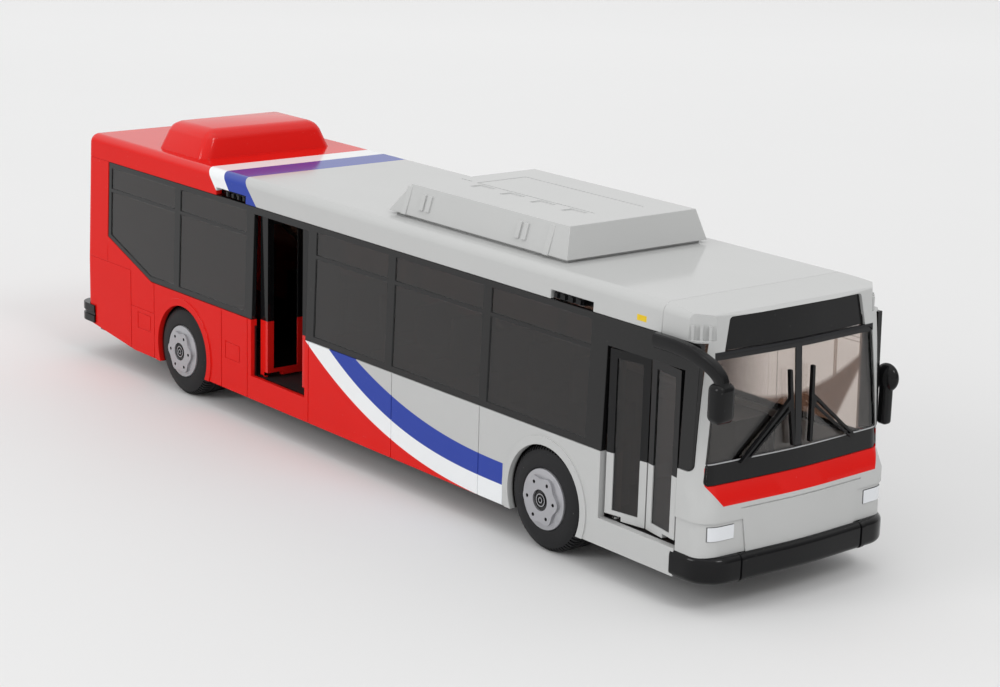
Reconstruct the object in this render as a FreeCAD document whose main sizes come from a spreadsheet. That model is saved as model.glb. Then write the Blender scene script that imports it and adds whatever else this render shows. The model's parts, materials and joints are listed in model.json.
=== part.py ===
import FreeCAD, Part
import math
import os
from types import SimpleNamespace
import Sketcher

# Toy city bus, about 1:43, in millimetres.
# +X is the front of the bus, +Y its left side, +Z is up, and the origin is
# on the floor below the middle of the bus.

DOC = FreeCAD.newDocument("toy_city_bus")
SHEET = DOC.addObject("Spreadsheet::Sheet", "Dimensions")
SHEET_ROWS = []
NODES = []


class Size:
    """A number that comes from the sheet: its value, and the expression that gives it."""

    def __init__(self, value, text):
        self.value = float(value)
        self.text = text

    def __add__(self, other):
        return combine(self, "+", other)

    def __radd__(self, other):
        return combine(other, "+", self)

    def __sub__(self, other):
        return combine(self, "-", other)

    def __rsub__(self, other):
        return combine(other, "-", self)

    def __mul__(self, other):
        return combine(self, "*", other)

    def __rmul__(self, other):
        return combine(other, "*", self)

    def __truediv__(self, other):
        return combine(self, "/", other)

    def __neg__(self):
        return combine(-1, "*", self)


OPERATIONS = {
    "+": lambda a, b: a + b,
    "-": lambda a, b: a - b,
    "*": lambda a, b: a * b,
    "/": lambda a, b: a / b,
}


def as_size(number):
    """A plain number becomes a size that no cell drives."""
    if isinstance(number, Size):
        return number
    return Size(number, f"({float(number)!r})")


def combine(first, sign, second):
    """Works out a sum, difference, product or ratio of two sizes."""
    first, second = as_size(first), as_size(second)
    value = OPERATIONS[sign](first.value, second.value)
    return Size(value, f"({first.text} {sign} {second.text})")


def driving(name, number):
    """Writes one driving dimension to the sheet and gives it back as a size."""
    row = len(SHEET_ROWS) + 1
    SHEET_ROWS.append(name)
    SHEET.set(f"A{row}", name)
    SHEET.set(f"B{row}", str(number))
    SHEET.setAlias(f"B{row}", name)
    return Size(number, f"Dimensions.{name}")


DIMENSIONS = {
    # Body shell
    "body_width": 61.0,
    "front_reach": 139.6,
    "body_rear": 139.1,
    "cap_length": 19.3,
    "skirt_height": 7.4,
    "tail_rise": 3.6,
    "tail_rise_length": 29.6,
    "belt_height": 30.3,
    "roof_height": 69.5,
    "roof_rise": 7.1,
    "tumblehome": 1.0,
    "roof_radius": 2.6,
    "rear_radius": 3.6,
    "wall": 2.0,
    "tail_length": 27.5,
    "part_gap": 0.1,
    "groove_width": 0.3,
    "groove_depth": 0.25,
    # Panel seams and the tail's face
    "arch_seam_margin": 0.55,
    "front_arch_seam": 25.55,
    "rear_arch_seam": 20.95,
    "door_seam": 1.9,
    "bay_length": 36.5,
    "tail_low_seam": 1.5,
    "tail_high_seam": 12.6,
    "tail_skirt_seam": 13.7,
    "access_length": 7.6,
    "access_height": 5.1,
    "access_margin": 2.0,
    "rear_access_foot": 7.4,
    "front_access_foot": 9.0,
    "engine_door_half": 19.0,
    "engine_door_foot": 10.6,
    "engine_door_height": 23.0,
    "slot_half": 14.0,
    "slot_height": 0.9,
    "slot_pitch": 2.4,
    "lamp_across": 23.6,
    "lamp_half": 1.9,
    "lamp_height": 3.4,
    "lamp_pitch": 4.2,
    # Wheels and axles
    "front_overhang": 56.75,
    "rear_overhang": 57.15,
    "tyre_radius": 13.17,
    "tyre_width": 8.5,
    "tyre_inset": 2.3,
    "tyre_shoulder": 0.8,
    "rim_radius": 7.65,
    "hub_stand": 4.4,
    "hub_lip": 0.8,
    "hub_face_radius": 6.3,
    "lug_circle": 4.95,
    "lug_radius": 0.55,
    "lug_depth": 1.4,
    "axle_radius": 1.2,
    "running_clearance": 0.06,
    "arch_clearance": 0.33,
    "arch_lip": 2.1,
    "lip_stand": 0.35,
    "well_clearance": 1.3,
    # Doors
    "rear_door_from_axle": 36.35,
    "rear_door_width": 26.5,
    "rear_door_head": 2.1,
    "front_door_setback": 11.2,
    "front_door_width": 25.9,
    "front_door_head": 6.8,
    "sill_height": 14.1,
    "leaf_gap": 0.6,
    "leaf_clearance": 0.3,
    "leaf_thickness": 1.4,
    "leaf_recess": 1.2,
    "leaf_frame": 2.1,
    "hinge_depth": 2.7,
    "hinge_edge": 1.4,
    "pin_radius": 0.8,
    "pin_length": 1.2,
    "front_door_rest": 10.0,
    "rear_door_rest": 90.0,
    # Glass
    "glass_thickness": 1.4,
    "glass_set_back": 0.2,
    "pane_depth": 0.3,
    "band_border": 1.7,
    "transom_drop": 9.0,
    "transom_height": 1.1,
    "mullion_half": 1.6,
    "front_mullion": 24.85,
    "bay_pitch": 39.3,
    "rear_mullion": 4.05,
    "door_border": 3.85,
    "front_door_border": 6.0,
    "rear_glass_setback": 13.4,
    "rear_glass_slant": 25.9,
    "rear_glass_rise": 9.2,
    "quarter_glass_setback": 6.8,
    "quarter_glass_rise": 2.9,
    "quarter_glass_round": 1.6,
    # Front
    "front_bow": 1.7,
    "front_bow_radius": 150.0,
    "front_corner": 5.5,
    "front_foot": 8.6,
    "hood_drop": 4.5,
    "hood_lean": 0.3,
    "glass_drop": 0.3,
    "band_lean": 2.3,
    "glass_lean": 2.8,
    "brow_drop": 1.7,
    "brow_length": 7.0,
    "brow_edge": 5.4,
    "facet_back": 11.6,
    "facet_front": 6.6,
    "facet_depth": 5.2,
    "facet_rib": 0.5,
    "facet_rib_pitch": 1.4,
    "surround_depth": 0.4,
    "surround_half": 18.8,
    "surround_slant": 2.2,
    "surround_drop": 8.2,
    "hood_seam_drop": 1.1,
    "hood_seam_half": 19.5,
    "headlight_across": 24.7,
    "headlight_half": 3.5,
    "headlight_drop": 0.9,
    "headlight_height": 3.3,
    "windshield_half": 28.2,
    "windshield_head_half": 25.2,
    "windshield_drop": 10.2,
    "windshield_sill": 4.9,
    "windshield_border": 1.1,
    "windshield_recess": 0.25,
    "pillar_half": 1.0,
    "sign_half": 22.6,
    "sign_head_half": 21.0,
    "sign_gap": 0.8,
    "sign_height": 7.5,
    "sign_recess": 0.7,
    "wiper_pivot": 18.0,
    "wiper_elbow": 3.9,
    "wiper_blade_height": 17.6,
    "bumper_stand": 1.6,
    "bumper_height": 6.5,
    "bumper_wrap": 12.2,
    "bumper_corner": 8.0,
    "bumper_overhang": 0.3,
    "bumper_rib_across": 19.6,
    "bumper_rib": 1.2,
    # Rear
    "rear_bumper_stand": 4.1,
    "rear_bumper_foot": 10.8,
    "rear_bumper_height": 5.6,
    "rear_bumper_ridge": 2.3,
    "rear_bumper_groove": 0.9,
    "rear_bumper_corner": 5.0,
    "rear_bumper_overhang": 0.6,
    "rear_bumper_wrap": 6.0,
    # Floor and chassis
    "chassis_foot": 8.4,
    "chassis_plate": 2.0,
    "floor_drop": 0.2,
    "floor_thickness": 1.5,
    "tray_end_gap": 3.0,
    "tray_front_gap": 9.0,
    "rim_wall": 1.6,
    "box_wall": 1.2,
    "box_gap": 2.0,
    "box_headroom": 1.4,
    "beam_half": 4.0,
    "beam_cover": 1.8,
    "beam_room": 10.0,
    "screw_radius": 1.25,
    "screw_post_half": 3.0,
    "screw_across": 20.0,
    "screw_from_rear": 21.1,
    "screw_from_front": 27.6,
    "fit_gap": 0.2,
    # Seats
    "seat_outer": 3.5,
    "seat_width": 15.0,
    "seat_pitch": 17.0,
    "seat_length": 8.0,
    "seat_back": 1.6,
    "seat_height": 7.1,
    "seat_back_height": 19.1,
    "seat_plinth": 1.0,
    "seats_from_axle": 90.85,
    "seats_left_from_axle": 140.85,
    # Roof units
    "unit_setback": 60.1,
    "unit_length": 71.2,
    "unit_half_width": 22.9,
    "unit_height": 8.5,
    "unit_rear_slope": 6.5,
    "unit_front_slope": 2.0,
    "unit_side_slope": 2.4,
    "unit_undercut": 0.8,
    "unit_inset": 1.4,
    "unit_rib": 0.4,
    "hump_setback": 33.1,
    "hump_length": 28.0,
    "hump_half_width": 24.5,
    "hump_height": 8.7,
    "hump_rear_slope": 10.0,
    "hump_front_slope": 7.5,
    "hump_side_slope": 4.5,
    "hump_bevel": 1.8,
    # Mirrors
    "mirror_stand": 3.6,
    "mirror_length": 4.8,
    "mirror_height": 9.8,
    "mirror_drop": 6.2,
    "mirror_width": 3.1,
    "left_mirror_radius": 4.3,
    # Levers
    "lever_travel": 4.4,
    "notch_length": 15.2,
    "notch_height": 2.2,
    "front_notch_from_door": 20.8,
    "rear_notch_from_door": 19.6,
}

dim = SimpleNamespace(**{name: driving(name, number) for name, number in DIMENSIONS.items()})
DOC.recompute()

# Places and heights that follow from the driving dimensions
dim.eaves_height = dim.roof_height - dim.roof_rise
dim.cap_seam = dim.front_reach - dim.cap_length
dim.tail_height = dim.skirt_height + dim.tail_rise
dim.tail_kink = dim.body_rear - dim.tail_rise_length
dim.tail_split = dim.body_rear - dim.tail_length
dim.front_axle = dim.front_reach - dim.front_overhang
dim.rear_axle = dim.body_rear - dim.rear_overhang
dim.arch_radius = dim.tyre_radius + dim.arch_clearance
dim.tyre_face = dim.body_width / 2 - dim.tyre_inset
dim.rear_door_back = dim.rear_axle - dim.rear_door_from_axle
dim.rear_door_top = dim.eaves_height - dim.rear_door_head
dim.front_door_back = dim.front_reach - dim.front_door_setback - dim.front_door_width
dim.front_door_top = dim.eaves_height - dim.front_door_head
dim.pane_foot = dim.belt_height + dim.band_border
dim.pane_head = dim.eaves_height - dim.band_border - dim.part_gap
dim.transom_foot = dim.eaves_height - dim.transom_drop
dim.transom_top = dim.transom_foot + dim.transom_height
dim.rear_glass_end = dim.body_rear - dim.rear_glass_setback
dim.rear_glass_knee = dim.rear_glass_end - dim.rear_glass_slant
dim.rear_glass_step = dim.belt_height + dim.rear_glass_rise
dim.quarter_glass_end = dim.front_reach - dim.quarter_glass_setback
dim.quarter_glass_foot = dim.belt_height + dim.quarter_glass_rise
dim.glass_foot = dim.belt_height - dim.glass_drop
dim.hood_top = dim.glass_foot - dim.hood_drop
dim.windshield_top = dim.roof_height - dim.windshield_drop
dim.sign_foot = dim.windshield_top + dim.sign_gap
dim.sign_top = dim.sign_foot + dim.sign_height
dim.bumper_reach = dim.front_reach + dim.bumper_stand
dim.bumper_foot = dim.skirt_height
dim.bumper_top = dim.bumper_foot + dim.bumper_height
dim.bumper_back = dim.front_reach - dim.bumper_wrap
dim.mirror_reach = dim.front_reach + dim.mirror_stand
dim.rear_bumper_reach = dim.body_rear + dim.rear_bumper_stand
dim.rear_bumper_top = dim.rear_bumper_foot + dim.rear_bumper_height
dim.floor_top = dim.sill_height - dim.floor_drop
dim.unit_front = dim.front_reach - dim.unit_setback
dim.unit_rear = dim.unit_front - dim.unit_length
dim.hump_rear = dim.body_rear - dim.hump_setback
dim.hump_front = dim.hump_rear - dim.hump_length
dim.front_notch = dim.front_door_back - dim.front_notch_from_door
dim.rear_notch = dim.rear_door_back + dim.rear_notch_from_door

half = dim.body_width / 2
eaves_half = half - dim.tumblehome
inner_half = half - dim.wall


def bind(item, path, size):
    """Sets a property by an expression on the sheet."""
    item.setExpression(path, as_size(size).text)


PLANES = {"top": "XY_Plane", "side": "XZ_Plane", "front": "YZ_Plane"}


def new_body(label, many=False):
    """Starts a body with the label of its sub-part."""
    body = DOC.addObject("PartDesign::Body", label)
    body.Label = label
    body.AllowCompound = many
    return body


def sketch_on(body, view, place):
    """Adds a sketch that is seen from the top, side or front, at a place along that view."""
    sketch = body.newObject("Sketcher::SketchObject", body.Name + "_sketch")
    plane = [p for p in body.Origin.OriginFeatures if p.Role == PLANES[view]][0]
    sketch.AttachmentSupport = [(plane, "")]
    sketch.MapMode = "FlatFace"
    offset = -as_size(place) if view == "side" else as_size(place)
    bind(sketch, "AttachmentOffset.Base.z", offset)
    return sketch


def hold(sketch, kind, *where, size):
    """Adds a dimension to a sketch and binds it to its size."""
    index = sketch.addConstraint(Sketcher.Constraint(kind, *where, as_size(size).value))
    if "Dimensions" in as_size(size).text:
        bind(sketch, f"Constraints[{index}]", size)


def hold_point(sketch, geometry, place, across, up):
    """Fixes a point of a sketch by its two distances from the origin."""
    hold(sketch, "DistanceX", geometry, place, size=across)
    hold(sketch, "DistanceY", geometry, place, size=up)


def draw_outline(sketch, corners):
    """Draws a closed outline; a corner with a third value is rounded to that radius."""
    points = [FreeCAD.Vector(as_size(c[0]).value, as_size(c[1]).value, 0) for c in corners]
    count = len(corners)
    starts, stops, centres = [], [], []
    for i, corner in enumerate(corners):
        if len(corner) < 3:
            starts.append(points[i])
            stops.append(points[i])
            centres.append(None)
            continue
        back = (points[i - 1] - points[i]).normalize()
        ahead = (points[(i + 1) % count] - points[i]).normalize()
        half_angle = back.getAngle(ahead) / 2
        radius = as_size(corner[2]).value
        starts.append(points[i] + back * (radius / math.tan(half_angle)))
        stops.append(points[i] + ahead * (radius / math.tan(half_angle)))
        centres.append(points[i] + (back + ahead).normalize() * (radius / math.sin(half_angle)))
    lines = [
        sketch.addGeometry(Part.LineSegment(stops[i - 1], starts[i]), False)
        for i in range(count)
    ]
    for i, corner in enumerate(corners):
        before, after = lines[i], lines[(i + 1) % count]
        if centres[i] is None:
            sketch.addConstraint(Sketcher.Constraint("Coincident", before, 2, after, 1))
            hold_point(sketch, before, 2, corner[0], corner[1])
        else:
            draw_corner(sketch, corner, before, after, (points[i], starts[i], stops[i], centres[i]))


def draw_corner(sketch, corner, before, after, places):
    """Adds the arc of a rounded corner, tangent to both of its lines."""
    point, start, stop, centre = places
    middle = centre + (point - centre).normalize() * as_size(corner[2]).value
    arc = sketch.addGeometry(Part.Arc(start, middle, stop), False)
    centre_turn = (start - centre).cross(stop - centre).z
    first, last = (1, 2) if centre_turn > 0 else (2, 1)
    virtual = sketch.addGeometry(Part.Point(point), True)
    hold_point(sketch, virtual, 1, corner[0], corner[1])
    sketch.addConstraint(Sketcher.Constraint("PointOnObject", virtual, 1, before))
    sketch.addConstraint(Sketcher.Constraint("PointOnObject", virtual, 1, after))
    hold(sketch, "Radius", arc, size=corner[2])
    sketch.addConstraint(Sketcher.Constraint("Tangent", before, 2, arc, first))
    sketch.addConstraint(Sketcher.Constraint("Tangent", arc, last, after, 1))


def draw_circle(sketch, across, up, radius):
    """Draws a circle held by its centre and radius."""
    centre = FreeCAD.Vector(as_size(across).value, as_size(up).value, 0)
    circle = Part.Circle(centre, FreeCAD.Vector(0, 0, 1), as_size(radius).value)
    index = sketch.addGeometry(circle, False)
    hold_point(sketch, index, 3, across, up)
    hold(sketch, "Radius", index, size=radius)


def draw(sketch, shape):
    """Draws an outline, or a circle when the shape is one centre and a radius."""
    if isinstance(shape, tuple):
        draw_circle(sketch, *shape)
    else:
        draw_outline(sketch, shape)


def pad(body, view, low, high, *shapes):
    """Adds material between two places along the view."""
    sketch = sketch_on(body, view, high if view == "side" else low)
    for shape in shapes:
        draw(sketch, shape)
    feature = body.newObject("PartDesign::Pad", body.Name + "_pad")
    feature.Profile = sketch
    bind(feature, "Length", as_size(high) - low)
    return feature


def pocket(body, view, low, high, *shapes):
    """Takes material away between two places along the view."""
    sketch = sketch_on(body, view, low if view == "side" else high)
    for shape in shapes:
        draw(sketch, shape)
    feature = body.newObject("PartDesign::Pocket", body.Name + "_pocket")
    feature.Profile = sketch
    bind(feature, "Length", as_size(high) - low)
    return feature


def rectangle(u_low, u_high, v_low, v_high, radius=None):
    """The four corners of a rectangle, rounded where a radius is given."""
    corners = [(u_low, v_low), (u_high, v_low), (u_high, v_high), (u_low, v_high)]
    if radius is None:
        return corners
    return [corner + (radius,) for corner in corners]


def octagon(u, v, reach):
    """Eight corners round a place, with flats at a distance from it."""
    far = as_size(reach) / math.cos(math.radians(22.5))
    turns = [math.radians(22.5 + 45 * i) for i in range(8)]
    return [(u + far * math.cos(turn), v + far * math.sin(turn)) for turn in turns]


def revolve(body, outline):
    """Turns an outline, drawn as (along the axle, radius), about the body's Y axis."""
    sketch = sketch_on(body, "front", 0)
    draw_outline(sketch, outline)
    feature = body.newObject("PartDesign::Revolution", body.Name + "_turned")
    feature.Profile = sketch
    feature.ReferenceAxis = (sketch, ["H_Axis"])
    feature.Angle = 360
    return feature


def round_edges(body, radius, wanted):
    """Rounds the edges of the body's last feature that the test accepts."""
    DOC.recompute()
    base = body.Tip
    names = [f"Edge{i + 1}" for i, edge in enumerate(base.Shape.Edges) if wanted(edge)]
    feature = body.newObject("PartDesign::Fillet", body.Name + "_round")
    feature.Base = (base, names)
    bind(feature, "Radius", radius)
    return feature


def bevel_edges(body, size, wanted):
    """Bevels the edges of the body's last feature that the test accepts."""
    DOC.recompute()
    base = body.Tip
    names = [f"Edge{i + 1}" for i, edge in enumerate(base.Shape.Edges) if wanted(edge)]
    feature = body.newObject("PartDesign::Chamfer", body.Name + "_bevel")
    feature.Base = (base, names)
    bind(feature, "Size", size)
    return feature


Z_AXIS = FreeCAD.Vector(0, 0, 1)


def near(a, b):
    """Says whether a coordinate lies at a size."""
    return abs(a - as_size(b).value) < 0.01


def boolean(kind, label, base, tool):
    """Cuts, joins or intersects two objects into a new one."""
    result = DOC.addObject(kind, label)
    result.Label = label
    result.Base = base
    result.Tool = tool
    return result


def cut(label, base, tool):
    """Takes one object away from another."""
    return boolean("Part::Cut", label, base, tool)


def common(label, base, tool):
    """Keeps what two objects share."""
    return boolean("Part::Common", label, base, tool)


def fuse(label, *items):
    """Joins several objects."""
    result = DOC.addObject("Part::MultiFuse", label)
    result.Label = label
    result.Shapes = list(items)
    return result


def block(label, x, y, z):
    """A box between pairs of sizes, used to split or cut other sub-parts."""
    box = DOC.addObject("Part::Box", label)
    for name, (low, high) in zip(("Length", "Width", "Height"), (x, y, z)):
        bind(box, name, as_size(high) - low)
    for name, (low, high) in zip("xyz", (x, y, z)):
        bind(box, "Placement.Base." + name, low)
    return box


def place(item, x=0, y=0, z=0):
    """Moves a sub-part to its place by expressions."""
    bind(item, "Placement.Base.x", x)
    bind(item, "Placement.Base.y", y)
    bind(item, "Placement.Base.z", z)


def keep(item):
    """Marks a finished sub-part, which is written to its own file."""
    NODES.append(item)
    return item


# The shell: one moulded form with an arched roof edge, split into panels

def side_at(height):
    """Half width of the body at a height: upright below the belt, leaning in above it."""
    return half - dim.tumblehome * ((height - dim.belt_height) / (dim.eaves_height - dim.belt_height))


def shell_section(inset, foot):
    """Cross-section of the shell, inset from its outer face."""
    top = dim.roof_height - inset
    shoulder = side_at(dim.roof_height) - inset
    radius = dim.roof_radius - as_size(inset) * 0.5
    return [
        (-(half - inset), foot),
        (half - inset, foot),
        (half - inset, dim.belt_height),
        (shoulder, top, radius),
        (-shoulder, top, radius),
        (-(half - inset), dim.belt_height),
    ]


def make_shell():
    """The whole hollow shell behind the front cap, before it is split and cut."""
    shell = new_body("shell_form")
    below = dim.skirt_height - dim.wall
    pad(shell, "front", -dim.body_rear, dim.cap_seam, shell_section(0, dim.skirt_height))
    rear = -dim.body_rear.value
    round_edges(
        shell,
        dim.rear_radius,
        lambda e: all(near(v.X, rear) for v in e.Vertexes) and e.BoundBox.ZMax > dim.skirt_height.value + 1,
    )
    inside = shell_section(dim.wall, below)
    pocket(shell, "front", -(dim.body_rear - dim.wall), dim.cap_seam + dim.wall, inside)
    tail = [
        (-dim.tail_kink, dim.skirt_height),
        (-(dim.body_rear + dim.wall), dim.tail_height + dim.part_gap * 2),
        (-(dim.body_rear + dim.wall), below),
        (-dim.tail_kink, below),
    ]
    pocket(shell, "side", -dim.body_width, dim.body_width, tail)
    return shell


def window_outline():
    """The side window band as seen from the side, with its slanted rear corner."""
    return [
        (-dim.rear_glass_end, dim.eaves_height),
        (-dim.rear_glass_end, dim.rear_glass_step),
        (-dim.rear_glass_knee, dim.belt_height),
        (dim.front_reach + dim.wall, dim.belt_height),
        (dim.front_reach + dim.wall, dim.eaves_height),
    ]


def strip(x, low, high):
    """A narrow upright strip, seen from the side or the end, centred on a place."""
    return rectangle(x - dim.groove_width / 2, x + dim.groove_width / 2, low, high)


def level_strip(height, low, high):
    """A narrow level strip, seen from the side or the end, centred on a height."""
    return rectangle(low, high, height - dim.groove_width / 2, height + dim.groove_width / 2)


def frame_lines(left, right, foot, head):
    """The outer and inner outline of a narrow frame."""
    inset = dim.groove_width
    inner = rectangle(left + inset, right - inset, foot + inset, head - inset)
    return rectangle(left, right, foot, head), inner


def upright_seams():
    """Places of the upright seams between the panels of one side, from the rear."""
    front_seam = dim.front_axle - dim.front_arch_seam
    return [
        -(dim.rear_axle + dim.arch_radius + dim.arch_lip + dim.arch_seam_margin),
        -(dim.rear_axle - dim.rear_arch_seam),
        -(dim.rear_door_back + dim.door_seam),
        -(dim.rear_door_back - dim.rear_door_width - dim.door_seam),
        front_seam - dim.bay_length,
        front_seam,
    ]


def access_panels():
    """The two access panels of one side, beside the rear arch."""
    behind, ahead = upright_seams()[:2]
    rear_end, front_start = behind - dim.access_margin, ahead + dim.access_margin
    rear_foot = dim.skirt_height + dim.rear_access_foot
    front_foot = dim.skirt_height + dim.front_access_foot
    return [
        (rear_end - dim.access_length, rear_end, rear_foot, rear_foot + dim.access_height),
        (front_start, front_start + dim.access_length, front_foot, front_foot + dim.access_height),
    ]


def seam_cutter(side):
    """The grooves between the panels of one side, and round its access panels."""
    seams = new_body("seams_" + ("right" if side < 0 else "left"), many=True)
    low, high = (-(half + 1), -(half - dim.groove_depth)) if side < 0 else (half - dim.groove_depth, half + 1)
    places = upright_seams()
    low_seam, high_seam = dim.belt_height + dim.tail_low_seam, dim.belt_height + dim.tail_high_seam
    tops = [strip(x, dim.skirt_height - 1, dim.belt_height + 1) for x in places]
    tops.append(strip(-dim.tail_split, dim.skirt_height - 1, low_seam - dim.groove_width))
    glass_line = dim.groove_width - dim.rear_glass_end
    tops.append(strip(glass_line, low_seam + dim.groove_width, dim.rear_glass_step))
    pad(seams, "side", low, high, *tops)
    inner = dim.groove_width / 2
    pad(seams, "side", low, high,
        level_strip(low_seam, -(dim.body_rear + 1), -dim.tail_split + inner),
        level_strip(high_seam, -(dim.body_rear + 1), -dim.rear_glass_end),
        level_strip(dim.skirt_height + dim.tail_skirt_seam, -dim.tail_split + inner, places[0] - inner))
    for panel in access_panels():
        pad(seams, "side", low, high, *frame_lines(*panel))
    return seams


def tail_details(tail):
    """Adds the engine door's grooves, its slots and the lamp blocks to the tail."""
    grooves = new_body("tail_grooves", many=True)
    face = -(dim.body_rear - dim.groove_depth)
    wide, foot = dim.engine_door_half, dim.skirt_height + dim.engine_door_foot
    door = frame_lines(-wide, wide, foot, foot + dim.engine_door_height)
    pad(grooves, "front", -(dim.body_rear + 1), face, *door)
    first = foot + dim.engine_door_height / 2 - dim.slot_pitch * 3
    feet = [first + dim.slot_pitch * i for i in range(6)]
    slots = [rectangle(-dim.slot_half, dim.slot_half, low, low + dim.slot_height) for low in feet]
    pad(grooves, "front", -(dim.body_rear + 1), face + dim.groove_depth, *slots)
    lamps = new_body("tail_lamps", many=True)
    blocks = [
        rectangle(y - dim.lamp_half, y + dim.lamp_half, low, low + dim.lamp_height)
        for y in (-dim.lamp_across, dim.lamp_across)
        for low in [foot + dim.lamp_pitch * (i + 0.4) for i in range(3)]
    ]
    pad(lamps, "front", -(dim.body_rear + dim.groove_depth * 2), -(dim.body_rear - dim.groove_depth), *blocks)
    return cut("tail_shell", fuse("tail_with_lamps", tail, lamps), grooves)


def make_panels(shell):
    """Splits the shell into the roof, both side walls and the tail."""
    glass_hole = new_body("glass_hole")
    pad(glass_hole, "side", -dim.body_width, dim.body_width, window_outline())
    hollow = cut("shell_with_windows", shell, glass_hole)
    seams = fuse("panel_seams", seam_cutter(-1), seam_cutter(1))
    open_shell = cut("open_shell", hollow, seams)
    reach = dim.body_rear + 20
    wide = (-dim.body_width, dim.body_width)
    below_roof = (0, dim.eaves_height - dim.part_gap)
    roof_zone = block("roof_zone", (-reach, reach), wide, (dim.eaves_height, dim.roof_height + 20))
    tail_zone = block("tail_zone", (-reach, -dim.tail_split), wide, (0, dim.eaves_height))
    right_zone = block("right_zone", (-dim.tail_split, reach), (-dim.body_width, 0), below_roof)
    left_zone = block("left_zone", (-dim.tail_split, reach), (0, dim.body_width), below_roof)
    roof = common("roof_panel", open_shell, roof_zone)
    tail = common("tail_panel", open_shell, tail_zone)
    right = common("right_panel", open_shell, right_zone)
    left = common("left_panel", open_shell, left_zone)
    return roof, tail, right, left


def arch_circles(radius):
    """A circle round each axle, seen from the side."""
    return [(dim.front_axle, dim.tyre_radius, radius), (-dim.rear_axle, dim.tyre_radius, radius)]


def wall_extension(side):
    """Carries the skirt wall on from the cap seam to the bumper, below the door."""
    name = "right" if side < 0 else "left"
    top = dim.sill_height if side < 0 else dim.belt_height
    low, high = (-half, -inner_half) if side < 0 else (inner_half, half)
    end = dim.front_door_back + dim.front_door_width - dim.part_gap
    return block(name + "_extension", (dim.cap_seam, end), (low, high), (dim.skirt_height, top))


def arch_cutter(side):
    """Both wheel arches of one side."""
    cutter = new_body("arches_" + ("right" if side < 0 else "left"), many=True)
    low, high = (-(half + 3), -(inner_half - 3)) if side < 0 else (inner_half - 3, half + 3)
    pad(cutter, "side", low, high, *arch_circles(dim.arch_radius))
    return cutter


def arch_lips(side):
    """Raised lips round both wheel arches."""
    lips = new_body("lips_" + ("right" if side < 0 else "left"), many=True)
    root = half - dim.part_gap * 2
    low, high = (-(half + dim.lip_stand), -root) if side < 0 else (root, half + dim.lip_stand)
    outer = dim.arch_radius + dim.arch_lip
    pad(lips, "side", low, high, *arch_circles(outer))
    pocket(lips, "side", low - 1, high + 1,
           rectangle(-dim.body_rear, dim.front_reach, -outer, dim.skirt_height))
    return lips


def doorway(label, back, width):
    """The hole of one doorway in the right wall, up to the eaves."""
    across = (-dim.body_width, -(inner_half - 4))
    return block(label, (back, back + width), across, (dim.sill_height, dim.eaves_height))


def make_wall(panel, side):
    """One side wall below the windows with its arches, and on the right its doorways."""
    name = "side_wall_right" if side < 0 else "side_wall_left"
    joined = fuse(name + "_joined", panel, wall_extension(side), arch_lips(side))
    solid = cut(name + "_arched", joined, arch_cutter(side))
    if side < 0:
        rear_door = doorway("rear_doorway", -dim.rear_door_back, dim.rear_door_width)
        solid = cut(name + "_rear_door", solid, rear_door)
        front_door = doorway("front_doorway", dim.front_door_back, dim.front_door_width)
        solid = cut(name + "_front_door", solid, front_door)
    solid.Label = name
    return keep(solid)


def lever_notch(label, start):
    """The notch in the roof's edge through which a door lever is pushed."""
    along = (start, start + dim.notch_length)
    across = (-(half + 1), -(inner_half - 1.5))
    return block(label, along, across, (dim.eaves_height - 1, dim.eaves_height + dim.notch_height))


def make_roof(panel):
    """The roof shell with its two lever notches."""
    first = cut("roof_notched", panel, lever_notch("front_lever_notch", dim.front_notch))
    roof = cut("roof_shell", first, lever_notch("rear_lever_notch", -dim.rear_notch))
    return keep(roof)


# Glass

def glass_section(side):
    """Slanted cross-section of a side window band."""
    outer_low = half - dim.glass_set_back
    outer_high = eaves_half - dim.glass_set_back
    return [
        (side * outer_low, dim.belt_height + dim.part_gap),
        (side * outer_high, dim.eaves_height - dim.part_gap),
        (side * (outer_high - dim.glass_thickness), dim.eaves_height - dim.part_gap),
        (side * (outer_low - dim.glass_thickness), dim.belt_height + dim.part_gap),
    ]


def make_glass(side):
    """One side's window band; the right one leaves both doorways open."""
    name = "window_band_right" if side < 0 else "window_band_left"
    band = new_body(name + "_form")
    start = -(dim.rear_glass_end - dim.part_gap)
    below = dim.belt_height - dim.wall
    knee = -(dim.rear_glass_knee - dim.part_gap)
    pad(band, "front", start, dim.quarter_glass_end, glass_section(side))
    corner = [
        (-(dim.rear_glass_end + dim.wall), dim.rear_glass_step),
        (start, dim.rear_glass_step),
        (knee, dim.belt_height),
        (knee, below),
        (-(dim.rear_glass_end + dim.wall), below),
    ]
    across = (-dim.body_width, 0) if side < 0 else (0, dim.body_width)
    pocket(band, "side", *across, corner)
    door_end = dim.front_door_back + dim.front_door_width
    if side < 0:
        rear_end = -(dim.rear_door_back - dim.rear_door_width)
        pocket(band, "side", *across, rectangle(-dim.rear_door_back, rear_end, below, dim.rear_door_top))
        pocket(band, "side", *across, rectangle(dim.front_door_back, door_end, below, dim.front_door_top))
    toe = rectangle(door_end, dim.quarter_glass_end + dim.wall, below, dim.quarter_glass_foot)
    pocket(band, "side", *across, toe)
    round_edges(band, dim.quarter_glass_round, at_quarter_corner)
    for back, top in door_heads() if side < 0 else []:
        edge = dim.hinge_edge
        post = rectangle(back - edge, back + edge, -(hinge_line() + edge), -(hinge_line() - edge))
        pad(band, "top", top, dim.eaves_height - 1, post)
        socket = dim.pin_radius + dim.running_clearance
        pocket(band, "top", top - 1, top + dim.pin_length, octagon(back, -hinge_line(), socket))
    return keep(cut(name, band, pane_cutter(side)))


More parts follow.
